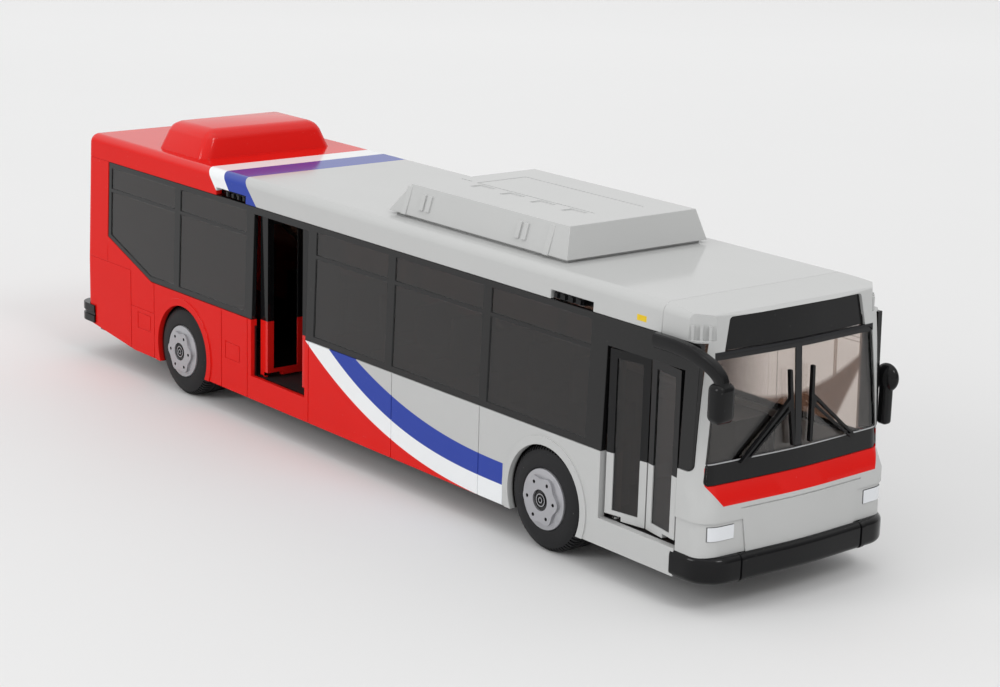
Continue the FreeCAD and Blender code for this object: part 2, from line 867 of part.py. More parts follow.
def pane_spans(side):
    """Where each pane of one side starts and ends, between its mullions, from the rear."""
    edge = dim.mullion_half
    rear = -(dim.rear_axle + dim.rear_mullion)
    front = dim.front_axle - dim.front_mullion
    middle = front - dim.bay_pitch
    door_back = -dim.rear_door_back
    door_front = door_back + dim.rear_door_width
    cab = dim.front_door_back - dim.front_door_border
    if side < 0:
        beside = dim.door_border - edge
        ends = [rear, door_back - beside, door_front + beside, middle, front, cab + edge]
        pairs = [(0, 1), (2, 3), (3, 4), (4, 5)]
    else:
        ends = [rear, door_back - dim.door_seam, door_front + dim.door_seam, middle, front, cab + edge]
        ends.append(dim.quarter_glass_end - dim.front_door_border + edge)
        pairs = [(i, i + 1) for i in range(6)]
    return [(ends[first] + edge, ends[last] - edge) for first, last in pairs]


def pane_cutter(side):
    """The shallow recesses that make the panes of one window band."""
    name = "right" if side < 0 else "left"
    across = (-dim.body_width, 0) if side < 0 else (0, dim.body_width)
    fields = new_body("pane_fields_" + name, many=True)
    start = dim.band_border - dim.rear_glass_end
    end = -(dim.rear_axle + dim.rear_mullion + dim.mullion_half)
    rear_low = [
        (start, dim.transom_foot),
        (start, dim.rear_glass_step + dim.band_border / 2),
        (-(dim.rear_glass_knee + dim.band_border / 2), dim.pane_foot),
        (end, dim.pane_foot),
        (end, dim.transom_foot),
    ]
    shapes = [rear_low, rectangle(start, end, dim.transom_top, dim.pane_head)]
    for low, high in pane_spans(side):
        shapes.append(rectangle(low, high, dim.pane_foot, dim.transom_foot))
        shapes.append(rectangle(low, high, dim.transom_top, dim.pane_head))
    pad(fields, "side", *across, *shapes)
    core = new_body("pane_core_" + name)
    depth = dim.glass_set_back + dim.pane_depth
    foot, head = dim.belt_height, dim.eaves_height
    section = [(side * (half - depth), foot), (side * (eaves_half - depth), head), (0, head), (0, foot)]
    pad(core, "front", -dim.body_rear, dim.front_reach, section)
    return cut("pane_recesses_" + name, fields, core)


def at_quarter_corner(edge):
    """Says whether an edge is the lower front corner of the quarter glass."""
    box = edge.BoundBox
    level = near(box.ZMin, dim.quarter_glass_foot) and near(box.ZMax, dim.quarter_glass_foot)
    return level and near(box.XMin, dim.quarter_glass_end) and near(box.XMax, dim.quarter_glass_end)


def hinge_line():
    """Distance of the door hinges from the middle of the bus."""
    return half - dim.leaf_recess - dim.hinge_depth


def hinge_places(back, width):
    """Places along the bus of a doorway's two hinges."""
    return back + dim.leaf_gap + dim.hinge_edge, back + width - dim.leaf_gap - dim.hinge_edge


def door_heads():
    """Where the hinge bosses hang above the two doorways."""
    rear_pair = hinge_places(-dim.rear_door_back, dim.rear_door_width)
    front_pair = hinge_places(dim.front_door_back, dim.front_door_width)
    return [(x, dim.rear_door_top) for x in rear_pair] + [(x, dim.front_door_top) for x in front_pair]


# Doors

def make_leaf(name, back, width, top, forward, rest):
    """One door leaf: a panel with a deep hinge edge and a pin at each end."""
    leaf = new_body(name)
    reach = width / 2 - dim.leaf_gap - dim.hinge_edge - dim.leaf_clearance - dim.part_gap * 2
    foot = dim.sill_height + dim.leaf_clearance + dim.part_gap
    head = top - dim.leaf_clearance
    outer, inner = -dim.hinge_depth, -(dim.hinge_depth - dim.leaf_thickness)
    sense = 1 if forward else -1
    edge = dim.hinge_edge - dim.leaf_clearance - dim.part_gap
    behind = dim.pin_radius + dim.part_gap
    plan = [
        (sense * -dim.hinge_edge, outer),
        (sense * reach, outer),
        (sense * reach, inner),
        (sense * edge, inner),
        (sense * edge, behind),
        (sense * -dim.hinge_edge, behind),
    ]
    pad(leaf, "top", foot, head, plan)
    near_edge, far_edge = dim.leaf_frame - dim.hinge_edge, reach - dim.leaf_frame
    low, high = (near_edge, far_edge) if forward else (-far_edge, -near_edge)
    pane = rectangle(low, high, foot + dim.leaf_frame, head - dim.leaf_frame)
    pocket(leaf, "side", outer - 1, outer + dim.pane_depth, pane)
    toe = dim.hinge_edge + dim.leaf_frame
    low, high = (-dim.hinge_edge - 1, toe) if forward else (-toe, dim.hinge_edge + 1)
    notch = rectangle(low, high, foot - 1, foot + dim.leaf_frame / 2)
    pocket(leaf, "side", outer - 1, inner + dim.pane_depth, notch)
    pad(leaf, "top", foot - dim.pin_length, head + dim.pin_length, (0, 0, dim.pin_radius))
    first, last = hinge_places(back, width)
    place(leaf, first if forward else last, -hinge_line(), 0)
    leaf.Placement.Rotation = FreeCAD.Rotation(Z_AXIS, sense * rest.value)
    return keep(leaf)


# Front cap

def front_plan(body, height, reach, inset):
    """The front cap's outline from above: bowed, with corners that are rounded later."""
    sketch = sketch_on(body, "top", height)
    side = half - inset
    corner = reach - dim.front_bow - inset
    draw_outline(sketch, [
        (dim.cap_seam - 3, -side),
        (corner, -side),
        (reach - inset, 0, dim.front_bow_radius),
        (corner, side),
        (dim.cap_seam - 3, side),
    ])
    return sketch


def at_front_corner(edge):
    """Says whether an edge is one of the upright ones at the front's two corners."""
    if len(edge.Vertexes) < 2:
        return False
    first, last = edge.Vertexes[0].Point, edge.Vertexes[1].Point
    upright = abs(first.z - last.z) > 1
    outside = abs(first.y) > half.value - 3 and abs(first.y - last.y) < 0.01
    return upright and outside and min(first.x, last.x) > dim.cap_seam.value + 6


def front_tiers():
    """Heights and reaches of the front's three straight runs: hood, band and windshield."""
    band_reach = dim.front_reach - dim.hood_lean
    glass_reach = band_reach - dim.band_lean
    return [
        (dim.front_foot, dim.hood_top, dim.front_reach, band_reach),
        (dim.hood_top, dim.glass_foot, band_reach, glass_reach),
        (dim.glass_foot, dim.roof_height, glass_reach, glass_reach - dim.glass_lean),
    ]


FRONT_FORMS = {}


def front_form(inset):
    """The front cap's solid form, inset from its outer face; each inset is made once."""
    inset = as_size(inset)
    key = round(inset.value, 3)
    if key in FRONT_FORMS:
        return FRONT_FORMS[key]
    tag = f"front_form_{len(FRONT_FORMS)}"
    body = new_body(tag + "_tiers")
    for low, high, reach_low, reach_high in front_tiers():
        feature = body.newObject("PartDesign::Pad", body.Name + "_tier")
        feature.Profile = front_plan(body, low, reach_low, inset)
        feature.UseCustomVector = True
        feature.AlongSketchNormal = True
        bind(feature, "Length", high - low)
        bind(feature, "Direction.x", reach_high - reach_low)
        bind(feature, "Direction.y", 0)
        bind(feature, "Direction.z", high - low)
    round_edges(body, dim.front_corner - inset, at_front_corner)
    sides = new_body(tag + "_sides")
    pad(sides, "front", dim.cap_seam - 12, dim.front_reach + 4, shell_section(inset, dim.front_foot - 4))
    FRONT_FORMS[key] = common(tag, body, sides)
    return FRONT_FORMS[key]


def front_layer(name, inset, thickness, outline):
    """A piece of even thickness that follows the front's form inside an outline."""
    layer = cut(name + "_layer", front_form(inset), front_form(as_size(inset) + thickness))
    return common(name, layer, front_window(name + "_window", outline))


def front_window(name, *outlines):
    """Outlines seen from the front, carried through the front cap's face."""
    window = new_body(name, many=True)
    pad(window, "front", dim.cap_seam + 8, dim.front_reach + 3, *outlines)
    return window


def front_recess(name, depth, *outlines):
    """What lies outside a depth of the front's form, within outlines seen from the front."""
    return cut(name, front_window(name + "_window", *outlines), front_form(depth))


def front_room(name, side, corner_start, profile):
    """A room with flat walls that lean with the cap, and bevelled front corners."""
    room = new_body(name)
    pad(room, "side", -side, side, profile)
    reach = dim.front_reach - corner_start + 3
    for turn in (-1, 1):
        corner = [
            (corner_start, turn * (side + 1)),
            (corner_start, turn * side),
            (dim.front_reach + 3, turn * (side - reach)),
            (dim.front_reach + 3, turn * (side + 1)),
        ]
        pocket(room, "top", dim.front_foot - 2, dim.roof_height, corner)
    return room


def front_hollow():
    """The hollow inside the front cap, open to the rear and below."""
    tiers = front_tiers()
    inside = dim.wall + dim.front_bow
    back = dim.cap_seam - 12
    low = [
        (back, dim.front_foot - 1),
        (tiers[0][2] - inside, dim.front_foot - 1),
        (tiers[0][3] - inside, dim.hood_top),
        (tiers[1][3] - inside, dim.glass_foot),
        (back, dim.glass_foot),
    ]
    high = [
        (back, dim.glass_foot - 1),
        (tiers[1][3] - inside, dim.glass_foot - 1),
        (tiers[2][3] - inside, dim.roof_height - dim.wall - dim.brow_drop),
        (dim.cap_seam + 4, dim.roof_height - dim.wall),
        (back, dim.roof_height - dim.wall),
    ]
    corner = dim.front_corner + inside - dim.hood_lean * 2
    lower = front_room("front_room_low", inner_half, dim.front_reach - corner, low)
    corner = corner + dim.band_lean + dim.front_bow
    upper = front_room("front_room_high", inner_half - dim.tumblehome, dim.front_reach - corner, high)
    return fuse("front_hollow", lower, upper)


def brow_cutter():
    """What lies above the brow: the roof slopes down to it and its edge is bevelled."""
    brow = new_body("brow_slope")
    lip = dim.roof_height - dim.brow_drop
    pad(brow, "side", -dim.body_width, dim.body_width, [
        (dim.cap_seam, dim.roof_height),
        (dim.front_reach - dim.brow_length, lip + dim.brow_drop * 0.4),
        (dim.front_reach - dim.brow_edge, lip - 0.5),
        (dim.front_reach + 2, lip - 5.0),
        (dim.front_reach + 2, dim.roof_height + 4),
        (dim.cap_seam, dim.roof_height + 4),
    ])
    return brow


def corner_facets():
    """Flat facets cut from the cap's two upper corners, beside the sign."""
    facets = new_body("corner_facets", many=True)
    back, front = dim.front_reach - dim.facet_back, dim.front_reach - dim.facet_front
    outer = half - dim.part_gap * 2
    for side in (-1, 1):
        corner = [
            (back, side * outer),
            (front, side * (outer - dim.facet_depth)),
            (dim.front_reach + 2, side * (outer - dim.facet_depth)),
            (dim.front_reach + 2, side * (half + 2)),
            (back, side * (half + 2)),
        ]
        pad(facets, "top", dim.eaves_height + 0.4, dim.roof_height + 4, corner)
    return facets


def corner_ribs():
    """Short upright ribs on each facet."""
    ribs = new_body("corner_ribs", many=True)
    width, outward, inward = dim.facet_rib, 0.4, 0.9
    for side in (-1, 1):
        for number in range(3):
            step = dim.facet_rib_pitch * (number + 0.86)
            x = dim.front_reach - dim.facet_back + step
            y = half - dim.part_gap * 2 - step
            rib = [
                (x - inward, side * (y - inward)),
                (x - inward + width, side * (y - inward - width)),
                (x + outward + width, side * (y + outward - width)),
                (x + outward, side * (y + outward)),
            ]
            pad(ribs, "top", dim.eaves_height + 0.4, dim.roof_height - dim.brow_drop * 2, rib)
    return ribs


def surround_outline(side):
    """The recessed field round one headlight, seen from the front."""
    top = dim.glass_foot - dim.surround_drop
    return [
        (side * dim.surround_half, top),
        (side * (half + 2), top),
        (side * (half + 2), dim.front_foot - 2),
        (side * (dim.surround_half - dim.surround_slant), dim.front_foot - 2),
    ]


def make_front():
    """The front cap with its windshield and sign openings."""
    door_end = dim.front_door_back + dim.front_door_width
    gap = dim.part_gap
    wide, back = (-dim.body_width, dim.body_width), dim.cap_seam - 20
    shell = cut("front_shell", front_form(0), front_hollow())
    side_gap = block("front_side_gap", (back, door_end), wide, (0, dim.eaves_height))
    behind = block("front_behind", (back, dim.cap_seam + gap), wide, (0, dim.roof_height + 1))
    quarter = new_body("quarter_hole")
    pad(quarter, "side", *wide, [
        (door_end - 1, dim.quarter_glass_foot - gap),
        (dim.quarter_glass_end + gap, dim.quarter_glass_foot - gap, dim.quarter_glass_round),
        (dim.quarter_glass_end + gap, dim.eaves_height),
        (door_end - 1, dim.eaves_height),
    ])
    holes = [windshield_outline(gap), sign_outline(gap)]
    holes += [headlight_outline(side, gap) for side in (-1, 1)]
    openings = front_window("front_holes", *holes)
    surrounds = front_recess("surrounds", dim.surround_depth, surround_outline(-1), surround_outline(1))
    line = level_strip(dim.hood_top - dim.hood_seam_drop, -dim.hood_seam_half, dim.hood_seam_half)
    seam = front_recess("hood_seam", dim.groove_depth, line)
    facets = cut("facets_between_ribs", corner_facets(), corner_ribs())
    tools = fuse("front_tools", brow_cutter(), side_gap, behind, quarter, openings, surrounds, seam, facets)
    return keep(cut("front_mask", shell, tools))


def make_windshield():
    """The windshield, with two panes set back from its frame and centre pillar."""
    recess, border = dim.windshield_recess, dim.windshield_border
    blank = front_layer("windshield_blank", recess, dim.glass_thickness, windshield_outline(0))
    sill, head = dim.glass_foot + dim.windshield_sill, dim.windshield_top - border
    panes = [
        [
            (side * dim.pillar_half, sill),
            (side * (dim.windshield_half - border), sill),
            (side * (dim.windshield_head_half - border / 2), head),
            (side * dim.pillar_half, head),
        ]
        for side in (-1, 1)
    ]
    return keep(cut("windshield", blank, front_recess("windshield_panes", dim.pane_depth + recess, *panes)))


def windshield_outline(grow):
    """The windshield with its black border, seen from the front."""
    foot, head = dim.windshield_half + grow, dim.windshield_head_half + grow
    return [
        (-foot, dim.glass_foot - grow, 1.2),
        (foot, dim.glass_foot - grow, 1.2),
        (head, dim.windshield_top + grow, 1.5),
        (-head, dim.windshield_top + grow, 1.5),
    ]


def sign_outline(grow):
    """The sign above the windshield, seen from the front."""
    foot, head = dim.sign_half + grow, dim.sign_head_half + grow
    return [
        (-foot, dim.sign_foot - grow),
        (foot, dim.sign_foot - grow),
        (head, dim.sign_top + grow, 1.0),
        (-head, dim.sign_top + grow, 1.0),
    ]


def headlight_outline(side, grow):
    """One headlight, seen from the front."""
    inner = side * (dim.headlight_across - dim.headlight_half - grow)
    outer = side * (dim.headlight_across + dim.headlight_half + grow)
    top = dim.glass_foot - dim.surround_drop - dim.headlight_drop
    return rectangle(inner, outer, top - dim.headlight_height - grow, top + grow)


def wiper_outline(side):
    """One wiper, seen from the front: its arm leans in to the foot of the upright blade."""
    sill = dim.glass_foot + dim.windshield_sill
    foot, tip = sill + 1.1, sill + dim.wiper_blade_height + 1.1
    pivot, elbow = dim.wiper_pivot, dim.wiper_elbow
    middle = (foot + tip) / 2
    return [
        (side * (pivot + 1.0), sill - 0.5),
        (side * (pivot - 1.1), sill - 0.5),
        (side * elbow, middle - 0.6),
        (side * (elbow - 0.7), foot),
        (side * (elbow - 1.6), foot),
        (side * (elbow - 0.6), tip),
        (side * (elbow + 0.2), tip),
        (side * elbow, middle + 2.2),
    ]


def wiper_slot(side):
    """The long slot between the two rails of a wiper's arm."""
    sill = dim.glass_foot + dim.windshield_sill
    middle = sill + 1.1 + dim.wiper_blade_height / 2
    pivot, elbow = dim.wiper_pivot, dim.wiper_elbow
    return [
        (side * (pivot - 1.3), sill + 0.6),
        (side * (pivot - 2.1), sill + 0.7),
        (side * (elbow + 0.6), middle - 0.2),
        (side * (elbow + 0.7), middle + 0.6),
    ]


def bumper_front(side):
    """The front bumper's outer outline from above, from its right return to its left."""
    return [
        (dim.bumper_back, -side),
        (dim.bumper_reach - dim.front_bow, -side, dim.bumper_corner),
        (dim.bumper_reach, 0, dim.front_bow_radius),
        (dim.bumper_reach - dim.front_bow, side, dim.bumper_corner),
        (dim.bumper_back, side),
    ]


def make_front_bumper():
    """The front bumper, which wraps round both corners."""
    bumper = new_body("front_bumper")
    outside = bumper_front(half + dim.bumper_overhang)
    beside, gap = half + dim.part_gap, dim.part_gap
    wall_end = dim.front_door_back + dim.front_door_width + gap
    bend = dim.front_reach - dim.front_bow + gap
    plan = outside + [
        (dim.bumper_back, beside),
        (bend, beside, dim.front_corner),
        (dim.front_reach + gap, 0, dim.front_bow_radius),
        (bend, -beside, dim.front_corner),
        (dim.bumper_back, -beside),
    ]
    pad(bumper, "top", dim.front_foot, dim.bumper_top, plan)
    inside = dim.front_reach - dim.front_corner - 0.5
    foot = outside + [
        (dim.bumper_back, beside),
        (wall_end, beside),
        (wall_end, inner_half),
        (inside, inner_half),
        (inside, -inner_half),
        (wall_end, -inner_half),
        (wall_end, -beside),
        (dim.bumper_back, -beside),
    ]
    pad(bumper, "top", dim.bumper_foot, dim.front_foot, foot)
    middle = (dim.front_reach + dim.bumper_reach) / 2
    rib = rectangle(middle - 0.3, dim.bumper_reach - gap, dim.bumper_foot + 0.6, dim.bumper_top + 0.3)
    for y in (-dim.bumper_rib_across, dim.bumper_rib_across):
        pad(bumper, "side", y - dim.bumper_rib / 2, y + dim.bumper_rib / 2, rib)
    return keep(bumper)


def make_rear_bumper():
    """The rear bumper bar, which wraps round the tail's corners, with two ridges along it."""
    bumper = new_body("rear_bumper")
    back = -(dim.body_rear - dim.rear_bumper_wrap)
    foot, top, ridge = dim.rear_bumper_foot, dim.rear_bumper_top, dim.rear_bumper_ridge
    beside, behind = half + dim.part_gap, -(dim.body_rear + dim.part_gap)
    for low, high, inset in (
        (foot, foot + ridge, 0),
        (foot + ridge, top - ridge, dim.rear_bumper_groove),
        (top - ridge, top, 0),
    ):
        side = half + dim.rear_bumper_overhang - inset * 0.4
        reach = dim.rear_bumper_reach - inset
        plan = [
            (back, -side),
            (back, -beside),
            (behind, -beside, dim.rear_radius),
            (behind, beside, dim.rear_radius),
            (back, beside),
            (back, side),
            (-reach, side, dim.rear_bumper_corner - inset),
            (-reach, -side, dim.rear_bumper_corner - inset),
        ]
        pad(bumper, "top", low, high, plan)
    return keep(bumper)


# Roof units

def make_front_unit():
    """The silver housing on the roof: a lid with sloped sides on a smaller foot."""
    unit = new_body("roof_unit_front")
    rear, front, wide = dim.unit_rear, dim.unit_front, dim.unit_half_width
    foot, top = dim.roof_height, dim.roof_height + dim.unit_height
    edge, inset = foot + dim.unit_undercut, dim.unit_inset
    head_side = wide - dim.unit_side_slope
    base = rectangle(rear + inset, front - inset, -(wide - inset), wide - inset)
    pad(unit, "top", foot, edge + dim.unit_rib, base)
    head_rear, head_front = rear + dim.unit_rear_slope, front - dim.unit_front_slope
    pad(unit, "side", -wide, wide, [(rear, edge), (front, edge), (head_front, top), (head_rear, top)])
    for side in (-1, 1):
        outside = [
            (side * wide, edge),
            (side * head_side, top),
            (side * head_side, top + 1),
            (side * (wide + 1), top + 1),
            (side * (wide + 1), edge),
        ]
        pocket(unit, "front", rear - 1, front + 1, outside)
    for side in (-1, 1):
        rib = [
            (side * (wide - 0.5), edge),
            (side * (wide + dim.unit_rib), edge),
            (side * (head_side + dim.unit_rib), top - 0.6),
            (side * (head_side - 0.5), top - 0.6),
        ]
        for start in (rear + 5.3, front - 8.9):
            pad(unit, "front", start, start + 2.0, rib)
        latch = [
            (side * (wide - 1.6), edge + 2.0),
            (side * (wide - 0.1), edge + 2.0),
            (side * (wide - 1.3), edge + 6.0),
            (side * (wide - 2.8), edge + 6.0),
        ]
        for start in (rear + 12.3, front - 20.3):
            pad(unit, "front", start, start + 1.6, latch)
            pad(unit, "front", start + 2.6, start + 4.2, latch)
    left, right, line = -5.3, 10.8, dim.groove_width + 0.2
    lid_rear, lid_front = rear + 14.0, front - 11.0
    lines = [
        rectangle(lid_rear, lid_front, left, left + line),
        rectangle(lid_rear, lid_front, right, right + line),
        rectangle(rear + 7.3, rear + 11.9, left, left + line),
    ]
    pocket(unit, "top", top - dim.groove_depth, top + 1, *lines)
    fan, pitch = 6.4, 12.0
    starts = [lid_rear + 2.7 + pitch * i for i in range(4)]
    fans = [rectangle(x, x + fan, left - 4.3, left - 0.7) for x in starts]
    end = rectangle(lid_rear, lid_rear + line, left + line, right)
    pocket(unit, "top", top - dim.groove_depth, top + 1, *fans, end)
    return keep(unit)


def make_rear_unit():
    """The red hump on the roof's rear, sloped on all sides, with bevelled edges."""
    unit = new_body("roof_unit_rear")
    foot, top = dim.roof_height, dim.roof_height + dim.hump_height
    wide, narrow = dim.hump_half_width, dim.hump_half_width - dim.hump_side_slope
    profile = [
        (-dim.hump_rear, foot),
        (-dim.hump_front, foot),
        (-(dim.hump_front + dim.hump_front_slope), top),
        (-(dim.hump_rear - dim.hump_rear_slope), top),
    ]
    pad(unit, "side", -wide, wide, profile)
    for side in (-1, 1):
        outside = [
            (side * wide, foot),
            (side * narrow, top),
            (side * narrow, top + 1),
            (side * (wide + 1), top + 1),
            (side * (wide + 1), foot),
        ]
        pocket(unit, "front", -(dim.hump_rear + 1), -(dim.hump_front - 1), outside)
    bevel_edges(unit, dim.hump_bevel, lambda e: e.BoundBox.ZMax > foot.value + 1)
    return keep(unit)


# Chassis and cabin floor

def tray_ends():
    """The chassis tray's rear, its front and its half width."""
    rear = -(dim.body_rear - dim.wall - dim.tray_end_gap)
    return rear, dim.front_reach - dim.tray_front_gap, inner_half - dim.part_gap * 2


def axle_slot(axle):
    """The slot that holds an axle, open downwards, seen from the side."""
    gap = dim.axle_radius + dim.running_clearance
    return rectangle(axle - gap, axle + gap, dim.chassis_foot - 1, dim.tyre_radius + gap)


def box_side():
    """Distance of the wheel boxes' inner walls from the middle of the bus."""
    return dim.tyre_face - dim.tyre_width - dim.box_gap


def well_corners(axle):
    """The wheel boxes' ends along the bus."""
    reach = dim.tyre_radius + dim.well_clearance
    return axle - reach, axle + reach


def make_chassis():
    """The black tray under the bus: a plate with a rim, wheel boxes and axle saddles."""
    chassis = new_body("chassis")
    rear, front, edge = tray_ends()
    rim_top = dim.floor_top - dim.floor_thickness
    inside = edge - dim.rim_wall
    foot, skin = dim.chassis_foot, dim.box_wall
    pad(chassis, "top", foot, rim_top, rectangle(rear, front, -edge, edge))
    pocket(chassis, "top", foot + dim.chassis_plate, rim_top + 1,
           rectangle(rear + dim.rim_wall, front - dim.rim_wall, -inside, inside))
    box_inner, post_side = box_side(), box_side() - skin
    box_top = dim.tyre_radius * 2 + dim.box_headroom + skin
    beam_top = dim.tyre_radius + dim.axle_radius + dim.beam_cover
    beam, room = dim.beam_half, dim.beam_half - skin
    for axle in (dim.front_axle, -dim.rear_axle):
        low, high = well_corners(axle)
        for side in (-1, 1):
            box = rectangle(low - skin, high + skin, side * post_side, side * edge)
            pad(chassis, "top", foot, box_top, box)
            well = rectangle(low, high, side * box_inner, side * (edge + 2))
            pocket(chassis, "top", foot - 1, box_top - skin, well)
        pad(chassis, "top", foot, beam_top, rectangle(axle - beam, axle + beam, -post_side, post_side))
        pocket(chassis, "top", foot - 1, beam_top - skin,
               rectangle(axle - room, axle + room, -dim.beam_room, dim.beam_room))
        pocket(chassis, "side", -(box_inner + 1), box_inner + 1, axle_slot(axle))
    post = dim.screw_post_half
    for x in (dim.screw_from_rear - dim.body_rear, dim.front_reach - dim.screw_from_front):
        for y in (-dim.screw_across, dim.screw_across):
            pad(chassis, "top", foot, rim_top, rectangle(x - post, x + post, y - post, y + post))
            pocket(chassis, "top", foot - 1, rim_top + 1, (x, y, dim.screw_radius))
    return keep(chassis)


def make_floor():
    """The cabin floor with the lower hinge holes of the doors."""
    floor = new_body("cabin_floor")
    rear, front, edge = tray_ends()
    under, top = dim.floor_top - dim.floor_thickness, dim.floor_top
    pad(floor, "top", under, top, rectangle(rear, front, -edge, edge))
    gap, skin = dim.fit_gap, dim.box_wall
    box_inner = box_side() - skin - gap
    beam_side = dim.beam_half + gap
    hump_side = beam_side + skin
    hump_foot = dim.tyre_radius + dim.axle_radius + dim.beam_cover + gap
    for axle in (dim.front_axle, -dim.rear_axle):
        hump = rectangle(axle - hump_side, axle + hump_side, -box_inner, box_inner)
        pad(floor, "top", under, hump_foot + skin, hump)
        across = box_inner + 1
        tunnel = rectangle(axle - beam_side, axle + beam_side, -across, across)
        pocket(floor, "top", under - 1, hump_foot, tunnel)
        low, high = well_corners(axle)
        for side in (-1, 1):
            well = rectangle(low - skin - gap, high + skin + gap, side * box_inner, side * (edge + 2))
            pocket(floor, "top", under - 1, top + 1, well)
    socket = dim.pin_radius + dim.running_clearance
    for x, _ in door_heads():
        pocket(floor, "top", under - 1, top + 1, octagon(x, -hinge_line(), socket))
    return keep(floor)


def make_seats(name, side, count, start):
    """Rows of double seats along one side, joined by a plinth."""
    seats = new_body(name)
    outer = side * (half - dim.seat_outer)
    inner = outer - side * dim.seat_width
    floor, back = dim.floor_top, dim.seat_back
    end = start + (count - 1) * dim.seat_pitch + dim.seat_length
    pad(seats, "top", floor, floor + dim.seat_plinth, rectangle(start - back, end, inner, outer))
    for i in range(count):
        x = start + i * dim.seat_pitch
        pad(seats, "top", floor, floor + dim.seat_height, rectangle(x, x + dim.seat_length, inner, outer))
        pad(seats, "top", floor, floor + dim.seat_back_height, rectangle(x - back, x, inner, outer))
    return keep(seats)


# Wheels

def make_tyre(name, axle, side):
    """A tyre turned about its axle, with a stepped outer shoulder."""
    tyre = new_body(name)
    wide, step = dim.tyre_width / 2, dim.tyre_shoulder
    revolve(tyre, [
        (-wide, dim.rim_radius),
        (wide, dim.rim_radius),
        (wide, dim.tyre_radius - step),
        (wide - step, dim.tyre_radius - step),
        (wide - step, dim.tyre_radius),
        (-wide, dim.tyre_radius),
    ])
    turn_wheel(tyre, axle, side)
    return keep(tyre)


def turn_wheel(item, axle, side):
    """Puts a wheel piece on its axle, facing outwards."""
    place(item, axle, side * (dim.tyre_face - dim.tyre_width / 2), dim.tyre_radius)
    item.Placement.Rotation = FreeCAD.Rotation(Z_AXIS, 0 if side > 0 else 180)


def make_hub(name, axle, side):
    """A wheel hub: a barrel with a lip, a raised plate and six nut recesses."""
    hub = new_body(name)
    wide = dim.tyre_width / 2
    face = wide + dim.hub_stand
    revolve(hub, [
        (1 - wide, 0),
        (1 - wide, dim.rim_radius),
        (wide + dim.hub_lip, dim.rim_radius),
        (wide + dim.hub_lip, dim.hub_face_radius),
        (face, dim.hub_face_radius),
        (face, 0),
    ])
    DOC.recompute()
    turns = [math.radians(60 * i) for i in range(6)]
    nut = [(dim.lug_circle + dim.lug_radius * math.cos(t), dim.lug_radius * math.sin(t)) for t in turns]
    hole = pocket(hub, "side", face - dim.lug_depth, face + 1, nut)
    pattern = hub.newObject("PartDesign::PolarPattern", name + "_lugs")
    pattern.Originals = [hole]
    pattern.Axis = (hole.Profile[0], ["N_Axis"])
    pattern.Angle = 360
    pattern.Occurrences = 6
    hub.Tip = pattern
    turn_wheel(hub, axle, side)
    return keep(hub)


def make_axle(name, axle):
    """A plain rod from hub to hub."""
    rod = new_body(name)
    reach = dim.tyre_face - dim.tyre_width + 1
    pad(rod, "side", -reach, reach, (axle, dim.tyre_radius, dim.axle_radius))
    return keep(rod)


def make_mirrors():
    """Both mirrors with their arms."""
    right = new_body("mirror_right")
    tip, eaves = dim.mirror_reach, dim.eaves_height
    head_top = eaves - dim.mirror_drop
    head_foot, head_back = head_top - dim.mirror_height, tip - dim.mirror_length
    arm = [
        (tip - 24.2, eaves - 1.8),
        (tip - 22.7, eaves + 0.5),
        (tip - 11.2, eaves + 0.2),
        (tip - 3.8, eaves - 1.8, 3),
        (tip - 0.3, eaves - 6.4),
        (tip - 0.9, head_top - 1.2),
        (tip - 4.0, head_top - 1.2),
        (tip - 5.0, eaves - 4.8, 2),
        (tip - 12.2, eaves - 2.4),
    ]
    outside = half + 5.0
    pad(right, "side", -(outside - dim.mirror_width), -eaves_half, arm)
    pad(right, "side", -outside, -(half - 1.2), rectangle(head_back, tip, head_foot, head_top, 1.2))
    keep(right)
    left = new_body("mirror_left")
    middle, height = dim.quarter_glass_end + 0.4, dim.belt_height + 15.3
    arm_top = height - dim.left_mirror_radius / 2
    pad(left, "side", outside - 4.1, outside, (middle, height, dim.left_mirror_radius))
    pad(left, "side", outside - 3.6, outside - 0.4,
        rectangle(middle - 2.6, middle + 2.4, arm_top - 9.5, arm_top + 0.5, 1.0))
    bracket = rectangle(middle - 2.2, middle + 1.8, height - 0.4, height + 2.8)
    pad(left, "side", half - 0.3, outside - 3.4, bracket)
    keep(left)


def make_lever(name, notch, rest):
    """A sliding door lever with its thumb ridges, inside the roof's edge."""
    lever = new_body(name)
    clear = dim.fit_gap
    start = notch + clear + dim.lever_travel * (as_size(rest) / 90)
    back = -(eaves_half - dim.wall - clear - 0.05)
    foot = dim.eaves_height + clear + dim.part_gap
    rail = rectangle(start - 6, start + dim.notch_length + 1.4, foot, foot + 2.3)
    pad(lever, "side", back, back + 1.2, rail)
    thumb = dim.notch_length - dim.lever_travel - clear * 2
    pad(lever, "side", -(eaves_half - 0.7), back, rectangle(start, start + thumb, foot, foot + 1.6))
    for i in range(4):
        ridge = start + clear * 2 + i * 2.8
        bar = rectangle(ridge, ridge + 1.1, foot + clear, foot + 1.4)
        pad(lever, "side", -(eaves_half - clear), back, bar)
    return keep(lever)


def make_doors():
    """Both double doors, each of two leaves with its lever."""
    rear, front = -dim.rear_door_back, dim.front_door_back
    doors = [
        ("rear", rear, dim.rear_door_width, dim.rear_door_top, dim.rear_door_rest),
        ("front", front, dim.front_door_width, dim.front_door_top, dim.front_door_rest),
    ]
    for door, back, width, top, rest in doors:
        make_leaf(door + "_door_back_leaf", back, width, top, True, rest)
        make_leaf(door + "_door_front_leaf", back, width, top, False, rest)
    make_lever("front_door_lever", dim.front_notch, dim.front_door_rest)
    make_lever("rear_door_lever", -dim.rear_notch, dim.rear_door_rest)


